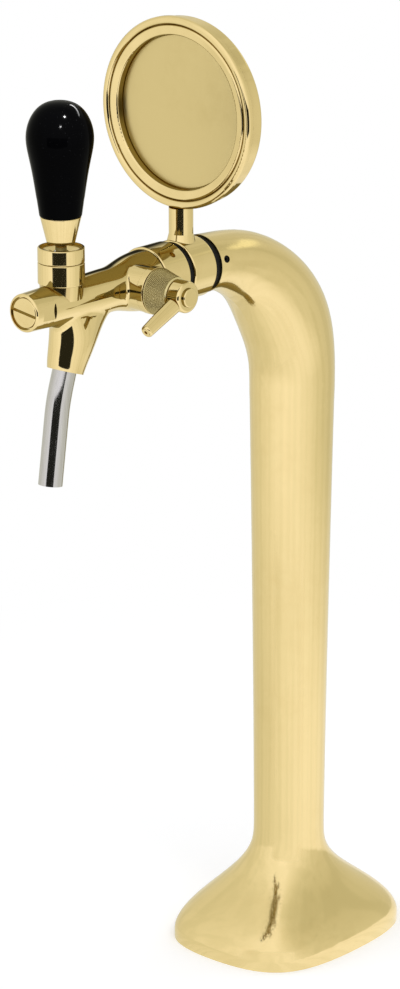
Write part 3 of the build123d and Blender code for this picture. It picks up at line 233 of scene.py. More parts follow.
def make_tent():
    """Color is the cloth's brightness in a direction from the tower."""
    group, start, end = new_group(
        "tent",
        [
            ("Direction", "NodeSocketVector", (0, -1, 0)),
            ("Near", "NodeSocketFloat", 0.0),
            ("Share", "NodeSocketFloat", 1.0),
        ],
        [("Color", "NodeSocketColor")],
    )
    direction = vector_node(group, "NORMALIZE", start.outputs["Direction"])
    flat = vector_node(group, "MULTIPLY", start.outputs["Direction"], (1, 1, 0))
    level = vector_node(group, "NORMALIZE", flat)
    window = vector_node(group, "DOT_PRODUCT", level, WINDOW_SIDE)
    shade = vector_node(group, "DOT_PRODUCT", level, SHADE_SIDE)
    up = vector_node(group, "DOT_PRODUCT", direction, (0, 0, 1))
    # walls
    bright = math_node(group, "MULTIPLY_ADD", window, WALLS_WINDOW, WALLS)
    bright = math_node(group, "MULTIPLY_ADD", shade, WALLS_SHADE, bright)
    both_ends = math_node(group, "MULTIPLY", window, window)
    bright = math_node(group, "MULTIPLY_ADD", both_ends, WALLS_BOTH_ENDS, bright)
    high = remap(group, up, OVERHEAD_STARTS, OVERHEAD_ENDS, 0.0, OVERHEAD_SHADE)
    dim = math_node(group, "MULTIPLY", math_node(group, "MAXIMUM", shade, 0.0), high)
    bright = math_node(group, "SUBTRACT", bright, dim)
    # floor
    close = math_node(group, "MULTIPLY_ADD", shade, CLOSE_SHADE, CLOSE)
    close = math_node(group, "MULTIPLY_ADD", window, CLOSE_WINDOW, close)
    more = math_node(group, "SUBTRACT", close, bright)
    bright = math_node(group, "MULTIPLY_ADD", more, start.outputs["Near"], bright)
    # folds
    hang = stretched(group, direction, FOLD_STRETCH)
    wide, narrow = [
        remap(group, cloud(group, hang, clouds, detail=1.0), starts, full, 0.0, FOLD_DEPTH)
        for clouds, starts, full in FOLDS
    ]
    bright = math_node(group, "SUBTRACT", bright, math_node(group, "MAXIMUM", wide, narrow))
    # colour
    bright = math_node(group, "MULTIPLY", bright, start.outputs["Share"])
    warmth = math_node(group, "MULTIPLY_ADD", bright, BLUE_RISE, BLUE_SHARE)
    colour = group.nodes.new("ShaderNodeCombineColor")
    group.links.new(bright, colour.inputs["Red"])
    group.links.new(bright, colour.inputs["Green"])
    group.links.new(math_node(group, "MULTIPLY", bright, warmth), colour.inputs["Blue"])
    group.links.new(colour.outputs["Color"], end.inputs["Color"])
    return group


tent = make_tent()
print("group:", tent.name)

# %% [markdown]
# ## The world
# The camera sees a white world behind the tower, and a mirror sees the tent. What lights the
# matt surfaces is a softer grey, so that they don't burn out. Where one mirror sees another,
# the tent is made darker still. In a real room the folds between two pieces see mostly the
# tower itself and the people round it, and a casting without dark folds looks like plastic.

# %% Make the white room
ROOM_LIGHT = 0.62
ROOM_TINT = (0.97, 0.98, 1.0)
FOLD_SHADE = 0.3


def sees(tree, *kinds):
    """1 for rays of those kinds, such as a mirror's, and 0 for any other."""
    rays = tree.nodes.new("ShaderNodeLightPath")
    found = rays.outputs[kinds[0]]
    for kind in kinds[1:]:
        found = math_node(tree, "MAXIMUM", found, rays.outputs[kind])
    return found


def choose(tree, share, first, second):
    """Two shaders mixed by a share from 0 to 1."""
    node = tree.nodes.new("ShaderNodeMixShader")
    tree.links.new(share, node.inputs[0])
    tree.links.new(first, node.inputs[1])
    tree.links.new(second, node.inputs[2])
    return node.outputs[0]


def glow(tree, colour=grey(1), kind="ShaderNodeEmission"):
    """Plain light of a colour."""
    node = tree.nodes.new(kind)
    feed(tree, colour, node.inputs["Color"])
    return node.outputs[0]


def show(tree, shader, kind="ShaderNodeOutputMaterial"):
    """Makes a shader the one that is seen."""
    tree.links.new(shader, tree.nodes.new(kind).inputs["Surface"])


def tent_colour(tree, direction, near=0.0):
    """The tent's colour in a direction. It is darker between two mirrors."""
    node = tree.nodes.new("ShaderNodeGroup")
    node.node_tree = tent
    tree.links.new(direction, node.inputs["Direction"])
    mirrors = tree.nodes.new("ShaderNodeLightPath").outputs["Glossy Depth"]
    tree.links.new(remap(tree, mirrors, 1.0, 2.0, 1.0, FOLD_SHADE), node.inputs["Share"])
    feed(tree, near, node.inputs["Near"])
    return node.outputs["Color"]


def white_room():
    """White for the camera, the tent for mirrors, soft light for the rest."""
    world = bpy.data.worlds.new("white_room")
    world.use_nodes = True
    tree = world.node_tree
    tree.nodes.clear()
    around = tree.nodes.new("ShaderNodeTexCoord").outputs["Generated"]
    soft = (*(ROOM_LIGHT * tint for tint in ROOM_TINT), 1)
    light = glow(tree, soft, "ShaderNodeBackground")
    walls = glow(tree, tent_colour(tree, around), "ShaderNodeBackground")
    white = glow(tree, kind="ShaderNodeBackground")
    mirrors = sees(tree, "Is Glossy Ray", "Is Transmission Ray")
    shown = choose(tree, mirrors, light, walls)
    shown = choose(tree, sees(tree, "Is Camera Ray"), shown, white)
    show(tree, shown, "ShaderNodeOutputWorld")
    return world


scene.world = white_room()
print("world:", scene.world.name)

# %% [markdown]
# ## The floor
# The tower stands on a sheet of white paper. Close to the foot the camera sees real paper, so
# the soft shadow stays, and it fades into plain white further off. A little glow lifts the
# paper, so that the join doesn't show. Mirrors see the tent's cloth go on across the floor.

# %% Lay the paper floor
FLOOR_REACH = 6.0
PAPER = 0.9
PAPER_LIFT = 0.26
# From how far to how far off the paper turns white, and the near cloth into the far one.
WHITE_STARTS, WHITE_FULL = 0.18, 0.6
NEAR_FULL, NEAR_ENDS = 0.35, 0.95


def flat_sheet(name, width, height, level=0.0):
    """One flat sheet of that width and height round the middle, at a level."""
    x, y = width / 2, height / 2
    corners = [(-x, -y, level), (x, -y, level), (x, y, level), (-x, y, level)]
    mesh = bpy.data.meshes.new(name)
    mesh.from_pydata(corners, [], [(0, 1, 2, 3)])
    sheet = bpy.data.objects.new(name, mesh)
    scene.collection.objects.link(sheet)
    return sheet


def bare_material(name):
    """A material without a shader, and its tree."""
    material = bpy.data.materials.new(name)
    material.use_nodes = True
    material.node_tree.nodes.clear()
    return material, material.node_tree


def floor_paper():
    """White paper for the camera, the tent's cloth for mirrors."""
    material, tree = bare_material("floor_paper")
    paper = tree.nodes.new("ShaderNodeBsdfDiffuse")
    paper.inputs["Color"].default_value = grey(PAPER)
    lift = tree.nodes.new("ShaderNodeAddShader")
    tree.links.new(paper.outputs[0], lift.inputs[0])
    tree.links.new(glow(tree, grey(PAPER_LIFT)), lift.inputs[1])
    place = object_place(tree)
    far = vector_node(tree, "LENGTH", place)
    away = remap(tree, far, WHITE_STARTS, WHITE_FULL)
    seen = choose(tree, away, lift.outputs[0], glow(tree))
    near = remap(tree, far, NEAR_FULL, NEAR_ENDS, 1.0, 0.0)
    cloth = glow(tree, tent_colour(tree, place, near))
    mirrors = sees(tree, "Is Glossy Ray", "Is Transmission Ray")
    shown = choose(tree, mirrors, paper.outputs[0], cloth)
    show(tree, choose(tree, sees(tree, "Is Camera Ray"), shown, seen))
    return material


ground = cad_box[0][2]
floor = flat_sheet("floor", 2 * FLOOR_REACH, 2 * FLOOR_REACH, ground)
floor.data.materials.append(floor_paper())
print("floor at height", round(ground, 4))

# %% [markdown]
# ## The lamps
# Three soft lamps light what is matt: the rubber, the plastic and the floor. They are hidden
# from mirrors, because a white square in every curve of the gold would look like a showroom.
# Two small bright lamps and a strip are the lights on the black grip, and they light only it.

# %% Hang the lamps
AIM = Vector((0, -0.08, 0.28))


def lamp(name, place, size, watts, in_mirrors=False):
    """A lamp of that width and height that looks at the tower."""
    light = bpy.data.lights.new(name, "AREA")
    light.shape = "RECTANGLE"
    light.size, light.size_y = size
    light.energy = watts
    holder = bpy.data.objects.new(name, light)
    holder.location = place
    holder.rotation_euler = (AIM - Vector(place)).to_track_quat("-Z", "Y").to_euler()
    holder.visible_glossy = in_mirrors
    scene.collection.objects.link(holder)
    return holder


lamp("key_lamp", (1.6, -1.0, 1.9), (1.4, 1.4), 14)
lamp("fill_lamp", (-1.7, -1.1, 1.5), (1.6, 1.6), 9)
lamp("back_lamp", (0.2, 1.7, 1.8), (1.4, 1.4), 7)
grip_only = bpy.data.collections.new("grip_only")
grip_only.objects.link(nodes["handle_grip"])
for name, place, size, watts in (
    ("grip_lamp_high", (0.461, -0.294, 1.406), (0.09, 0.09), 40.0),
    ("grip_lamp_low", (0.614, -0.772, 1.072), (0.08, 0.08), 10.0),
    ("grip_lamp_strip", (0.03, 0.57, 1.1), (0.85, 0.07), 12.0),
):
    spark = lamp(name, place, size, watts, in_mirrors=True)
    spark.light_linking.receiver_collection = grip_only

# %% [markdown]
# ## Cards for the mirrors
# In a studio, black cards stand round polished metal, and each one draws a dark line in it.
# Without them a gold casting looks like yellow plastic. Here a card is a flat sheet with a
# soft edge that only mirrors see. A dark one in front draws the lines on the spout and the
# stem, and a dark one behind the tap draws its dark upper edge. A card in front of the foot
# has the colour of the tent's cloth, and hides the dark card from the foot. A white one high
# behind lights the gooseneck.

# %% Stand the cards round the tower
BLACK, WHITE, CLOTH = 0.02, 1.0, None
# The cloth card stands by the foot, so it gets nearly the light of the floor there.
CLOTH_NEAR = 0.85
CARD_BLUE = 0.8


def card_paint(name, brightness, feather):
    """One brightness, or the tent's cloth. The outer share of it, feather, fades away."""
    material, tree = bare_material(name)
    place = tree.nodes.new("ShaderNodeTexCoord").outputs["Generated"]
    split = tree.nodes.new("ShaderNodeSeparateXYZ")
    from_middle = vector_node(tree, "SUBTRACT", place, (0.5, 0.5, 0.0))
    tree.links.new(from_middle, split.inputs[0])
    inside_x, inside_y = [
        remap(tree, math_node(tree, "ABSOLUTE", split.outputs[axis]), 0.5 - feather, 0.5,
              1.0, 0.0)
        for axis in "XY"
    ]
    inside = math_node(tree, "MULTIPLY", inside_x, inside_y)
    clear = tree.nodes.new("ShaderNodeBsdfTransparent").outputs[0]
    if brightness is CLOTH:
        stands = tree.nodes.new("ShaderNodeNewGeometry").outputs["Position"]
        sheet = glow(tree, tent_colour(tree, stands, CLOTH_NEAR))
    else:
        sheet = glow(tree, (brightness, brightness, brightness * CARD_BLUE, 1))
    show(tree, choose(tree, inside, clear, sheet))
    return material


def card(name, centre, size, brightness, feather, looks_at=AIM):
    """A sheet of that width and height that faces the tower and that only mirrors see."""
    sheet = flat_sheet(name, *size)
    turn = (Vector(looks_at) - Vector(centre)).to_track_quat("Z", "Y").to_matrix()
    sheet.matrix_world = Matrix.Translation(centre) @ turn.to_4x4()
    sheet.data.materials.append(card_paint(name, brightness, feather))
    sheet.visible_camera = False
    sheet.visible_diffuse = False
    sheet.visible_transmission = False
    sheet.visible_shadow = False


card("front_dark_card", (0.68, -1.22, 0.323), (1.8, 0.594), BLACK, feather=0.05,
     looks_at=(0, -0.2, 0.323))
card("back_dark_card", (-0.148, 0.007, 0.482), (0.145, 0.185), BLACK, feather=0.3,
     looks_at=(0, -0.18, 0.43))
card("foot_cloth_card", (0.109, -0.168, 0.07), (0.4, 0.2), CLOTH, feather=0.15,
     looks_at=(0, 0, 0.07))
card("top_white_card", (0.35, 1.64, 1.49), (1.3, 0.4), WHITE, feather=0.3)

# %% [markdown]
# ## Shared effects
# Every finish on the tower is made of a few effects at different strengths, so each effect is
# one node group with named sockets. `buffing` is what a polishing wheel leaves: a slow wave in
# the surface and fine hairlines. `tarnish` is the cloudy change of colour that hands and beer
# leave. `turning` is the fine ring pattern of a lathe tool. One more group finds sharp edges,
# where a highlight is painted, and hollows, where shade is painted.

# %% [markdown]
# ### Buffing
# A casting is ground by hand and then buffed on a soft wheel. The wheel can't make it truly
# straight, so the surface keeps a slow wave a few centimetres long, and it leaves hairlines
# that run mostly one way. The wave could be modelled in the mesh, but it is far less than the
# thickness of paper, so a height for the Bump node is the right tool.

# %% The buffing group
HAIRLINE_STRETCH = (900, 900, 60)


def make_buffing():
    """Height is the wave and the hairlines, Marks is 1 where hairlines are."""
    group, start, end = new_group(
        "buffing",
        [
            ("Wave Scale", "NodeSocketFloat", 18.0),
            ("Hairline Height", "NodeSocketFloat", 0.02),
        ],
        [("Height", "NodeSocketFloat"), ("Marks", "NodeSocketFloat")],
    )
    place = object_place(group)
    wave = cloud(group, place, start.outputs["Wave Scale"], detail=1.5)
    runs = stretched(group, place, HAIRLINE_STRETCH)
    lines = cloud(group, runs, 1.0, detail=2.0, rough=0.7)
    marks = remap(group, lines, 0.56, 0.72)
    lift = math_node(group, "MULTIPLY", marks, start.outputs["Hairline Height"])
    group.links.new(math_node(group, "SUBTRACT", wave, lift), end.inputs["Height"])
    group.links.new(marks, end.inputs["Marks"])
    return group


buffing = make_buffing()
print("group:", buffing.name)

# %% [markdown]
# ### Tarnish
# Thin gold plate on brass isn't one even colour. Where hands hold it and beer dries it goes a
# little redder and duller, in clouds with soft edges. Two sizes of noise multiplied together
# give large clouds that are broken up inside.

# %% The tarnish group
GOLD = (0.94, 0.745, 0.37, 1)
OLD_GOLD = (0.78, 0.565, 0.23, 1)
SPECKLE_FINER = 7.0


def make_tarnish():
    """Color goes from clean to dull in clouds, and Mask says where."""
    group, start, end = new_group(
        "tarnish",
        [
            ("Clean", "NodeSocketColor", GOLD),
            ("Dull", "NodeSocketColor", OLD_GOLD),
            ("Cloud Scale", "NodeSocketFloat", 14.0),
            ("Amount", "NodeSocketFloat", 0.3),
        ],
        [("Color", "NodeSocketColor"), ("Mask", "NodeSocketFloat")],
    )
    place = object_place(group)
    large = cloud(group, place, start.outputs["Cloud Scale"], detail=2.0)
    fine_scale = math_node(group, "MULTIPLY", start.outputs["Cloud Scale"], SPECKLE_FINER)
    fine = cloud(group, place, fine_scale, detail=4.0, rough=0.65)
    patches = remap(group, large, 0.42, 0.66)
    speckle = remap(group, fine, 0.35, 0.7)
    mask = math_node(group, "MULTIPLY", patches, speckle)
    mask = math_node(group, "MULTIPLY", mask, start.outputs["Amount"])
    colour = blend_colours(group, mask, start.outputs["Clean"], start.outputs["Dull"])
    group.links.new(colour, end.inputs["Color"])
    group.links.new(mask, end.inputs["Mask"])
    return group


tarnish = make_tarnish()
print("group:", tarnish.name)

# %% [markdown]
# ### Painted light on edges and in hollows
# Colour paints a highlight on sharp edges and shade in hollows. Cycles can tell a convex
# edge from a hollow one, so one group gives a mask for each.

# %% The group for painted highlights and shade
# Pointiness is 0.5 where the surface is flat, and these are where an edge and a corner start.
EDGE_STARTS, CORNER_STARTS = 0.51, 0.49


# Masks for painted light: a highlight on edges and shade in hollows.
def make_relief_light_masks():
    """Edge is 1 on sharp outside edges, Corner is 1 in hollows."""
    group, start, end = new_group(
        "relief_light_masks",
        [("Reach", "NodeSocketFloat", 0.04)],
        [("Edge", "NodeSocketFloat"), ("Corner", "NodeSocketFloat")],
    )
    point = group.nodes.new("ShaderNodeNewGeometry").outputs["Pointiness"]
    high = math_node(group, "ADD", start.outputs["Reach"], EDGE_STARTS)
    low = math_node(group, "SUBTRACT", CORNER_STARTS, start.outputs["Reach"])
    edge = remap(group, point, EDGE_STARTS, high)
    corner = remap(group, point, CORNER_STARTS, low)
    group.links.new(edge, end.inputs["Edge"])
    group.links.new(corner, end.inputs["Corner"])
    return group


relief_light_masks = make_relief_light_masks()
print("group:", relief_light_masks.name)

# %% [markdown]
# ### Turning lines
# A turned piece keeps very fine rings from the lathe. Here a wave runs along the axis and
# makes them. Noise in the wave keeps them from looking like a printed pattern.

# %% The turning group
DRIFT_SCALE = 140.0
DRIFT = 1.5


def make_turning():
    """Height is a row of fine rings along the axis that Along gives."""
    group, start, end = new_group(
        "turning",
        [
            ("Along", "NodeSocketVector", (0, 0, 1)),
            ("Rings", "NodeSocketFloat", 2500.0),
        ],
        [("Height", "NodeSocketFloat")],
    )
    place = object_place(group)
    along = vector_node(group, "DOT_PRODUCT", place, start.outputs["Along"])
    steps = math_node(group, "MULTIPLY", along, start.outputs["Rings"])
    drift = cloud(group, place, DRIFT_SCALE, detail=1.0)
    steps = math_node(group, "ADD", steps, math_node(group, "MULTIPLY", drift, DRIFT))
    group.links.new(math_node(group, "SINE", steps), end.inputs["Height"])
    return group


turning = make_turning()
print("group:", turning.name)

# %% [markdown]
# ## Finishes
# Each finish is one material. The shader itself stays in the material, and the groups feed its
# colour, roughness and normal. The small helpers below make the same three connections again
# and again: a group placed with its own values, a height turned into a normal, and a
# roughness that rises where a mask is.

# %% Helpers for materials
MICRON = 0.000001


def new_finish(name, roughness, metallic=0.0):
    """A material with one Principled shader, and the numbers that are the same all over."""
    material = bpy.data.materials.new(name)
    material.use_nodes = True
    shader = material.node_tree.nodes["Principled BSDF"]
    shader.inputs["Metallic"].default_value = metallic
    shader.inputs["Roughness"].default_value = roughness
    return material, material.node_tree, shader


def use_group(tree, group, **values):
    """A group in a material. Socket names are written with _ for a space."""
    node = tree.nodes.new("ShaderNodeGroup")
    node.node_tree = group
    for title, value in values.items():
        node.inputs[title.replace("_", " ")].default_value = value
    return node


def bump(tree, shader, height, depth, under=None):
    """A height from 0 to 1 as the shader's normal. Depth is how many metres 1 stands for."""
    node = tree.nodes.new("ShaderNodeBump")
    node.inputs["Strength"].default_value = 1.0
    node.inputs["Distance"].default_value = depth
    tree.links.new(height, node.inputs["Height"])
    if under is not None:
        tree.links.new(under, node.inputs["Normal"])
    tree.links.new(node.outputs["Normal"], shader.inputs["Normal"])
    return node.outputs["Normal"]


def rough_where(tree, shader, mask, clean, marked):
    """Roughness goes from clean to marked with the mask."""
    tree.links.new(remap(tree, mask, 0.0, 1.0, clean, marked), shader.inputs["Roughness"])


def dress(finish, slot, *names):
    """Gives CAD nodes this finish in every material slot."""
    for name in names:
        node = nodes[name]
        node.data.materials.clear()
        node.data.materials.append(finish)
    print(finish.name, "on", ", ".join(names))


# %% [markdown]
# ### Polished gold
# The tower, the tap body and the badge holder are brass castings, buffed and gold plated. On
# a mirror the eye reads three things: the colour, the slow wave that bends reflections, and
# the hairlines that blur them a little. So the finish has all three, with faint tarnish. The
# column gets a longer wave than the small castings, because a bigger wheel made it.

# %% The castings' gold
# Painted shade: the hollows of the castings are painted this dark brown.
CORNER_SHADE_BROWN = (0.42, 0.27, 0.09, 1)
HOLLOW_SHADE_REACH = 0.05


def plating(tree, shader, cloud_scale, tarnish_share, corner_shade_share):
    """Gold with tarnish and painted shade that turns the corners brown. It gives back where
    the tarnish is.
    """
    cloudy = use_group(tree, tarnish, Clean=GOLD, Dull=OLD_GOLD, Cloud_Scale=cloud_scale,
                       Amount=tarnish_share)
    relief_masks = use_group(tree, relief_light_masks, Reach=HOLLOW_SHADE_REACH)
    # Painted shade: the hollows darken towards brown.
    dark = math_node(tree, "MULTIPLY", relief_masks.outputs["Corner"], corner_shade_share)
    colour = blend_colours(tree, dark, cloudy.outputs["Color"], CORNER_SHADE_BROWN)
    tree.links.new(colour, shader.inputs["Base Color"])
    return cloudy.outputs["Mask"]


def worn_where(tree, shader, dull, marks, marks_share, clean, wear):
    """Roughness rises by the wear where the gold is dull or has hairlines."""
    lines = math_node(tree, "MULTIPLY", marks, marks_share)
    worn = math_node(tree, "MAXIMUM", dull, lines)
    rough_where(tree, shader, worn, clean, clean + wear)


def polished_gold(name, wave_scale, wave_depth, tarnish_share, roughness):
    """Buffed and plated casting."""
    material, tree, shader = new_finish(name, roughness, metallic=1.0)
    dull = plating(tree, shader, 16.0, tarnish_share, corner_shade_share=0.35)
    buffed = use_group(tree, buffing, Wave_Scale=wave_scale)
    worn_where(tree, shader, dull, buffed.outputs["Marks"], 0.35, roughness, wear=0.14)
    bump(tree, shader, buffed.outputs["Height"], wave_depth)
    return material


column_gold = polished_gold("column_gold", 13.0, 600 * MICRON, 0.22, 0.09)
tap_gold = polished_gold("tap_gold", 45.0, 60 * MICRON, 0.3, 0.05)
badge_gold = polished_gold("badge_gold", 30.0, 40 * MICRON, 0.3, 0.06)
dress(column_gold, "polished_gold", "column_shell")
dress(tap_gold, "polished_gold", "tap_body", "lever_rod")
dress(badge_gold, "polished_gold", "medallion_housing", "medallion_bezel", "medallion_stem")

# %% [markdown]
# ### Turned gold
# Rings, nuts and cones come off a lathe before they are plated, and the plating keeps the
# lathe's rings. They are far too fine to model, but they blur a reflection across the piece
# and not along it, which is what makes a turned piece look turned.

# %% The turned pieces' gold
RINGS_DEPTH = 0.5 * MICRON
TURNED_ROUGHNESS = 0.06


def turned_gold(name, along):
    """Turned and plated piece, with fine rings along its axis."""
    material, tree, shader = new_finish(name, TURNED_ROUGHNESS, metallic=1.0)
    dull = plating(tree, shader, 60.0, 0.3, corner_shade_share=0.4)
    rings = use_group(tree, turning, Along=along, Rings=6000.0)
    buffed = use_group(tree, buffing, Wave_Scale=90.0)
    worn_where(tree, shader, dull, buffed.outputs["Marks"], 0.4, TURNED_ROUGHNESS, wear=0.16)
    normal = bump(tree, shader, buffed.outputs["Height"], 10 * MICRON)
    bump(tree, shader, rings.outputs["Height"], RINGS_DEPTH, under=normal)
    return material


TAP_AXIS, HANDLE_AXIS, SPINDLE_AXIS = (0, 1, 0), (0, 0, 1), (1, 0, 0)
ring_gold = turned_gold("ring_gold", TAP_AXIS)
handle_gold = turned_gold("handle_gold", HANDLE_AXIS)
spindle_gold = turned_gold("spindle_gold", SPINDLE_AXIS)
dress(ring_gold, "polished_gold", "medallion_ring", "coupling_nut", "front_plug")
dress(handle_gold, "polished_gold", "bonnet_nut", "handle_ferrule")
dress(spindle_gold, "polished_gold", "compensator_gland", "lever_hub", "hub_screw")

# %% [markdown]
# ### The badge disc
# The disc on the floor of the badge holder is where a badge is glued on, so it is left satin:
# a flat sheet, sanded one way. Satin means many fine parallel lines. Here they are noise
# stretched along the sanding direction, and a higher roughness does the rest.

# %% The disc's satin


def satin_disc():
    """Sanded and plated sheet. The sanding runs upright."""
    material, tree, shader = new_finish("disc_satin", 0.3, metallic=1.0)
    clean, dull = (0.8, 0.64, 0.3, 1), (0.74, 0.58, 0.26, 1)
    cloudy = use_group(tree, tarnish, Clean=clean, Dull=dull, Cloud_Scale=22.0, Amount=0.6)
    tree.links.new(cloudy.outputs["Color"], shader.inputs["Base Color"])
    place = object_place(tree)
    upright = stretched(tree, place, (2500, 900, 90))
    sanding = cloud(tree, upright, 1.0, detail=3.0, rough=0.7)
    rough_where(tree, shader, sanding, 0.24, 0.4)
    bump(tree, shader, sanding, 6 * MICRON)
    return material


disc_satin = satin_disc()
dress(disc_satin, "polished_gold", "badge_plate")

# %% [markdown]
# ### Plain brass, steel and zinc
# Pieces inside the tap are bare machined brass. The spout is drawn stainless tube: drawing
# pulls the metal through a die and leaves lines along the tube. The ballast plate, its
# screws, the badge stem's screw and the line clip are zinc plated, which looks like grey
# frost with slightly larger pale grains.

# %% Brass, steel and zinc


def machined_brass():
    """Bare brass with turning marks and a brown bloom."""
    material, tree, shader = new_finish("machined_brass", 0.28, metallic=1.0)
    clean, brown = (0.8, 0.58, 0.27, 1), (0.45, 0.28, 0.11, 1)
    cloudy = use_group(tree, tarnish, Clean=clean, Dull=brown, Cloud_Scale=45.0, Amount=0.6)
    tree.links.new(cloudy.outputs["Color"], shader.inputs["Base Color"])
    rings = use_group(tree, turning, Along=TAP_AXIS, Rings=4000.0)
    rough_where(tree, shader, cloudy.outputs["Mask"], 0.25, 0.5)
    bump(tree, shader, rings.outputs["Height"], 3 * MICRON)
    return material


def drawn_steel():
    """Polished stainless tube with draw lines along it."""
    material, tree, shader = new_finish("drawn_steel", 0.12, metallic=1.0)
    place = object_place(tree)
    drawn = stretched(tree, place, (1800, 700, 12))
    streak = remap(tree, cloud(tree, drawn, 1.0, detail=2.0, rough=0.6), 0.35, 0.7)
    dark, pale = (0.6, 0.58, 0.58, 1), (0.68, 0.66, 0.65, 1)
    colour = blend_colours(tree, streak, dark, pale)
    tree.links.new(colour, shader.inputs["Base Color"])
    rough_where(tree, shader, streak, 0.08, 0.15)
    bump(tree, shader, streak, 0.2 * MICRON)
    return material


def zinc_plate():
    """Bright zinc with a frosty grain."""
    material, tree, shader = new_finish("zinc_plate", 0.38, metallic=1.0)
    place = object_place(tree)
    grains = tree.nodes.new("ShaderNodeTexVoronoi")
    grains.inputs["Scale"].default_value = 700.0
    tree.links.new(place, grains.inputs["Vector"])
    frost = remap(tree, grains.outputs["Distance"], 0.1, 0.8)
    dark, pale = (0.5, 0.51, 0.53, 1), (0.68, 0.69, 0.7, 1)
    colour = blend_colours(tree, frost, dark, pale)
    tree.links.new(colour, shader.inputs["Base Color"])
    rough_where(tree, shader, frost, 0.3, 0.5)
    bump(tree, shader, frost, 10 * MICRON)
    return material


brass = machined_brass()
steel = drawn_steel()
zinc = zinc_plate()
print("materials:", brass.name, steel.name, zinc.name)

# %% [markdown]
# ### Rubber, plastic and foam
# The seals are black rubber with a moulded skin that is slightly grey where it is dusty. The
# two blackened set screws get the same finish. The grip is hard moulded plastic, polished till
# it mirrors: black with a clear gloss, and faint orange peel. The ball's seat and the beer
# line are milky plastic. The foam round the lines is cast in place and shows its cells.

# %% Rubber, plastic and foam


def soft_black():
    """Moulded rubber."""
    material, tree, shader = new_finish("seal_rubber", 0.6)
    shader.inputs["Specular IOR Level"].default_value = 0.2
    place = object_place(tree)
    dust = remap(tree, cloud(tree, place, 260.0, detail=4.0, rough=0.7), 0.45, 0.75)
    black, dusty = grey(0.004), (0.02, 0.018, 0.016, 1)
    colour = blend_colours(tree, dust, black, dusty)
    tree.links.new(colour, shader.inputs["Base Color"])
    rough_where(tree, shader, dust, 0.5, 0.85)
    bump(tree, shader, cloud(tree, place, 2500.0), 20 * MICRON)
    return material


def glossy_black():
    """Polished hard plastic, nearly black, with a little dust and orange peel."""
    material, tree, shader = new_finish("grip_black", 0.1)
    shader.inputs["Specular IOR Level"].default_value = 0.02
    place = object_place(tree)
    specks = remap(tree, cloud(tree, place, 900.0, detail=2.0, rough=0.6), 0.66, 0.78)
    black, dusty = (0.0004, 0.0004, 0.0005, 1), (0.004, 0.004, 0.0045, 1)
    colour = blend_colours(tree, specks, black, dusty)
    tree.links.new(colour, shader.inputs["Base Color"])
    rough_where(tree, shader, specks, 0.09, 0.3)
    bump(tree, shader, cloud(tree, place, 160.0, detail=1.0), 20 * MICRON)
    return material


def milky_plastic():
    """Natural white plastic, slightly yellow in patches."""
    material, tree, shader = new_finish("milky_plastic", 0.4)
    shader.inputs["Subsurface Weight"].default_value = 0.15
    shader.inputs["Subsurface Radius"].default_value = (0.004, 0.003, 0.002)
    milk, yellow = (0.8, 0.79, 0.74, 1), (0.7, 0.64, 0.5, 1)
    cloudy = use_group(tree, tarnish, Clean=milk, Dull=yellow, Cloud_Scale=40.0, Amount=0.7)
    tree.links.new(cloudy.outputs["Color"], shader.inputs["Base Color"])
    rough_where(tree, shader, cloudy.outputs["Mask"], 0.35, 0.6)
    bump(tree, shader, cloud(tree, object_place(tree), 1200.0), 10 * MICRON)
    return material


def cast_foam():
    """Cream foam with open cells, and painted shade in their hollows."""
    material, tree, shader = new_finish("cast_foam", 0.9)
    cells = tree.nodes.new("ShaderNodeTexVoronoi")
    cells.inputs["Scale"].default_value = 650.0
    tree.links.new(object_place(tree), cells.inputs["Vector"])
    walls = remap(tree, cells.outputs["Distance"], 0.0, 0.7)
    # Painted shade: the hollows of the cells are darker than the cream walls.
    hollow, cream = (0.6, 0.48, 0.26, 1), (0.84, 0.76, 0.55, 1)
    colour = blend_colours(tree, walls, hollow, cream)
    tree.links.new(colour, shader.inputs["Base Color"])
    rough_where(tree, shader, walls, 0.8, 0.95)
    bump(tree, shader, walls, 400 * MICRON)
    return material


rubber = soft_black()
grip_black = glossy_black()
milky = milky_plastic()
foam = cast_foam()
print("materials:", rubber.name, grip_black.name, milky.name, foam.name)

# %% [markdown]
# ### Which piece gets which
# The names come from the CAD model. Pieces that can't be seen from outside are dressed too,
# because someone who opens the tower up in another program will see them.

# %% Dress the remaining nodes
PIECES = [
    (brass, "plain_brass", ["shank", "grip_insert", "compensator_cone", "metering_sleeve",
                            "valve_plunger", "valve_nut"]),
    (steel, "stainless", ["spout_tube", "lever", "compensator_spindle", "coolant_loop"]),
    (zinc, "zinc_steel", ["base_plate", "base_screws", "stem_screw", "line_clip"]),
    (rubber, "black_rubber", ["neck_seal", "coupling_seal", "tail_washer", "plug_oring",
                              "valve_washer", "bonnet_oring", "spout_oring",
                              "spindle_oring", "base_gasket", "neck_set_screw",
                              "ring_set_screw"]),
    (grip_black, "black_grip", ["handle_grip"]),
    (milky, "white_plastic", ["ball_seat", "beer_line"]),
    (foam, "foam", ["insulation_core"]),
]
for finish, slot, names in PIECES:
    dress(finish, slot, *names)

# %% [markdown]
# ## The knurled cone
# The compensator's lever turns a cone that the fingers can also grip, so its side is knurled:
# a wheel with slanted teeth is rolled against it, once each way, and leaves rows of small
# pyramids. A bump map would do at a distance, but the outline would stay smooth. So the cone
# is built as a fine grid round its axis, and each point is raised or lowered by the two sets
# of slanted grooves. It stays inside the plain cone of the CAD model.

# %% Roll the knurl
SPINDLE_FORWARD = 0.140
TAP_HEIGHT = 0.4168
# The cone's radii in metres. Both ends are bevelled by CONE_EDGE, and by EDGE_LENGTH of that
# along the spindle. EDGE_SINK of it keeps the side a little inside the plain cone.
CONE_WIDE, CONE_SLIM, CONE_BORE = 0.0128, 0.0096, 0.0036
CONE_EDGE = 0.0009
EDGE_LENGTH = 0.6
EDGE_SINK = 0.15
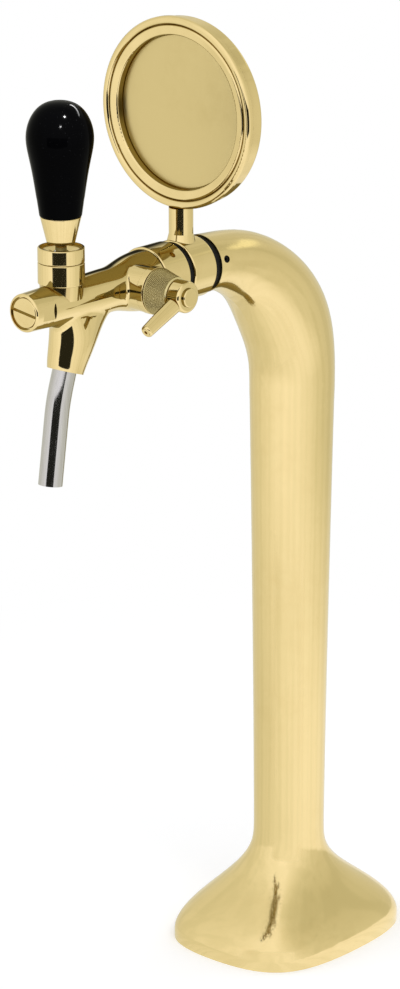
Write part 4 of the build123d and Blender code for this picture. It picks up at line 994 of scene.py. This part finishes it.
# A groove crosses KNURL_LEAD teeth in KNURL_LENGTH metres, and fades out over one part in
# EASE at both ends. KNURL_ROWS is how many steps the grid has along the cone.
KNURL_TEETH = 88
POINTS_PER_TOOTH = 8
KNURL_ROWS = 64
KNURL_DEPTH = 0.0002
KNURL_LEAD = 7.0
KNURL_LENGTH = 0.013
GROOVE_SHARPNESS = 0.7
EASE = 12


def cone_profile(steps):
    """(distance along the spindle, radius, share of knurl) from the bore round to the bore."""
    low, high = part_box("compensator_knob")
    rear, front = low.x, high.x
    edge = CONE_EDGE * EDGE_LENGTH
    profile = [(rear, CONE_BORE, 0), (rear, CONE_WIDE - CONE_EDGE, 0)]
    for step in range(steps + 1):
        share = step / steps
        along = rear + edge + (front - rear - 2 * edge) * share
        radius = CONE_WIDE + (CONE_SLIM - CONE_WIDE) * share - CONE_EDGE * EDGE_SINK
        profile.append((along, radius, min(1.0, EASE * share, EASE * (1 - share))))
    profile += [(front, CONE_SLIM - CONE_EDGE, 0), (front, CONE_BORE, 0)]
    return profile


def knurled_cone(name):
    """Grid of points round the spindle, with crossed grooves rolled into its side."""
    profile = cone_profile(KNURL_ROWS)
    rear = profile[0][0]
    around = KNURL_TEETH * POINTS_PER_TOOTH
    mesh = bmesh.new()
    rings = []
    for along, radius, share in profile:
        twist = (along - rear) / KNURL_LENGTH * KNURL_LEAD
        ring = []
        for place in range(around):
            turn = 2 * math.pi * place / around
            left = abs(math.sin(KNURL_TEETH / 2 * turn + twist * math.pi))
            right = abs(math.sin(KNURL_TEETH / 2 * turn - twist * math.pi))
            groove = 1 - min(left, right) ** GROOVE_SHARPNESS
            r = radius - KNURL_DEPTH * groove * share
            ring.append(mesh.verts.new((
                along,
                -SPINDLE_FORWARD + r * math.cos(turn),
                TAP_HEIGHT + r * math.sin(turn),
            )))
        rings.append(ring)
    for first, second in zip(rings, rings[1:] + rings[:1]):
        for place in range(around):
            after = (place + 1) % around
            mesh.faces.new((first[place], first[after], second[after], second[place]))
    bmesh.ops.recalc_face_normals(mesh, faces=mesh.faces)
    data = bpy.data.meshes.new(name)
    mesh.to_mesh(data)
    mesh.free()
    cone = bpy.data.objects.new(name, data)
    scene.collection.objects.link(cone)
    return cone


knob = knurled_cone("knurled_cone")
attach(knob, "compensator")
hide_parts("compensator_knob")
print("knurled cone:", len(knob.data.polygons), "faces")

# %% [markdown]
# The knurl isn't buffed, because a wheel would round it off. It stays satin and a little
# greener than the polished gold, with painted shade in the grooves and a painted highlight on
# the tops.

# %% The knurl's finish


def knurl_finish():
    """Satin plated brass, with painted shade in the grooves and a painted highlight on the
    tops.
    """
    material, tree, shader = new_finish("knurl_satin", 0.35, metallic=1.0)
    clean, dull = (0.5, 0.4, 0.16, 1), (0.4, 0.3, 0.11, 1)
    # Painted shade for the grooves and a painted highlight for the tops of the teeth.
    groove_shade, bright = (0.16, 0.11, 0.04, 1), (0.9, 0.76, 0.4, 1)
    cloudy = use_group(tree, tarnish, Clean=clean, Dull=dull, Cloud_Scale=90.0, Amount=0.6)
    relief_masks = use_group(tree, relief_light_masks, Reach=0.03)
    # Painted shade in the grooves, then a painted highlight on the tops.
    groove_shaded = blend_colours(tree, relief_masks.outputs["Corner"], cloudy.outputs["Color"], groove_shade)
    colour = blend_colours(tree, relief_masks.outputs["Edge"], groove_shaded, bright)
    tree.links.new(colour, shader.inputs["Base Color"])
    rough_where(tree, shader, cloudy.outputs["Mask"], 0.3, 0.5)
    bump(tree, shader, cloud(tree, object_place(tree), 5000.0), 10 * MICRON)
    return material


knob.data.materials.append(knurl_finish())
for face in knob.data.polygons:
    face.use_smooth = False
print("knurl finish done")
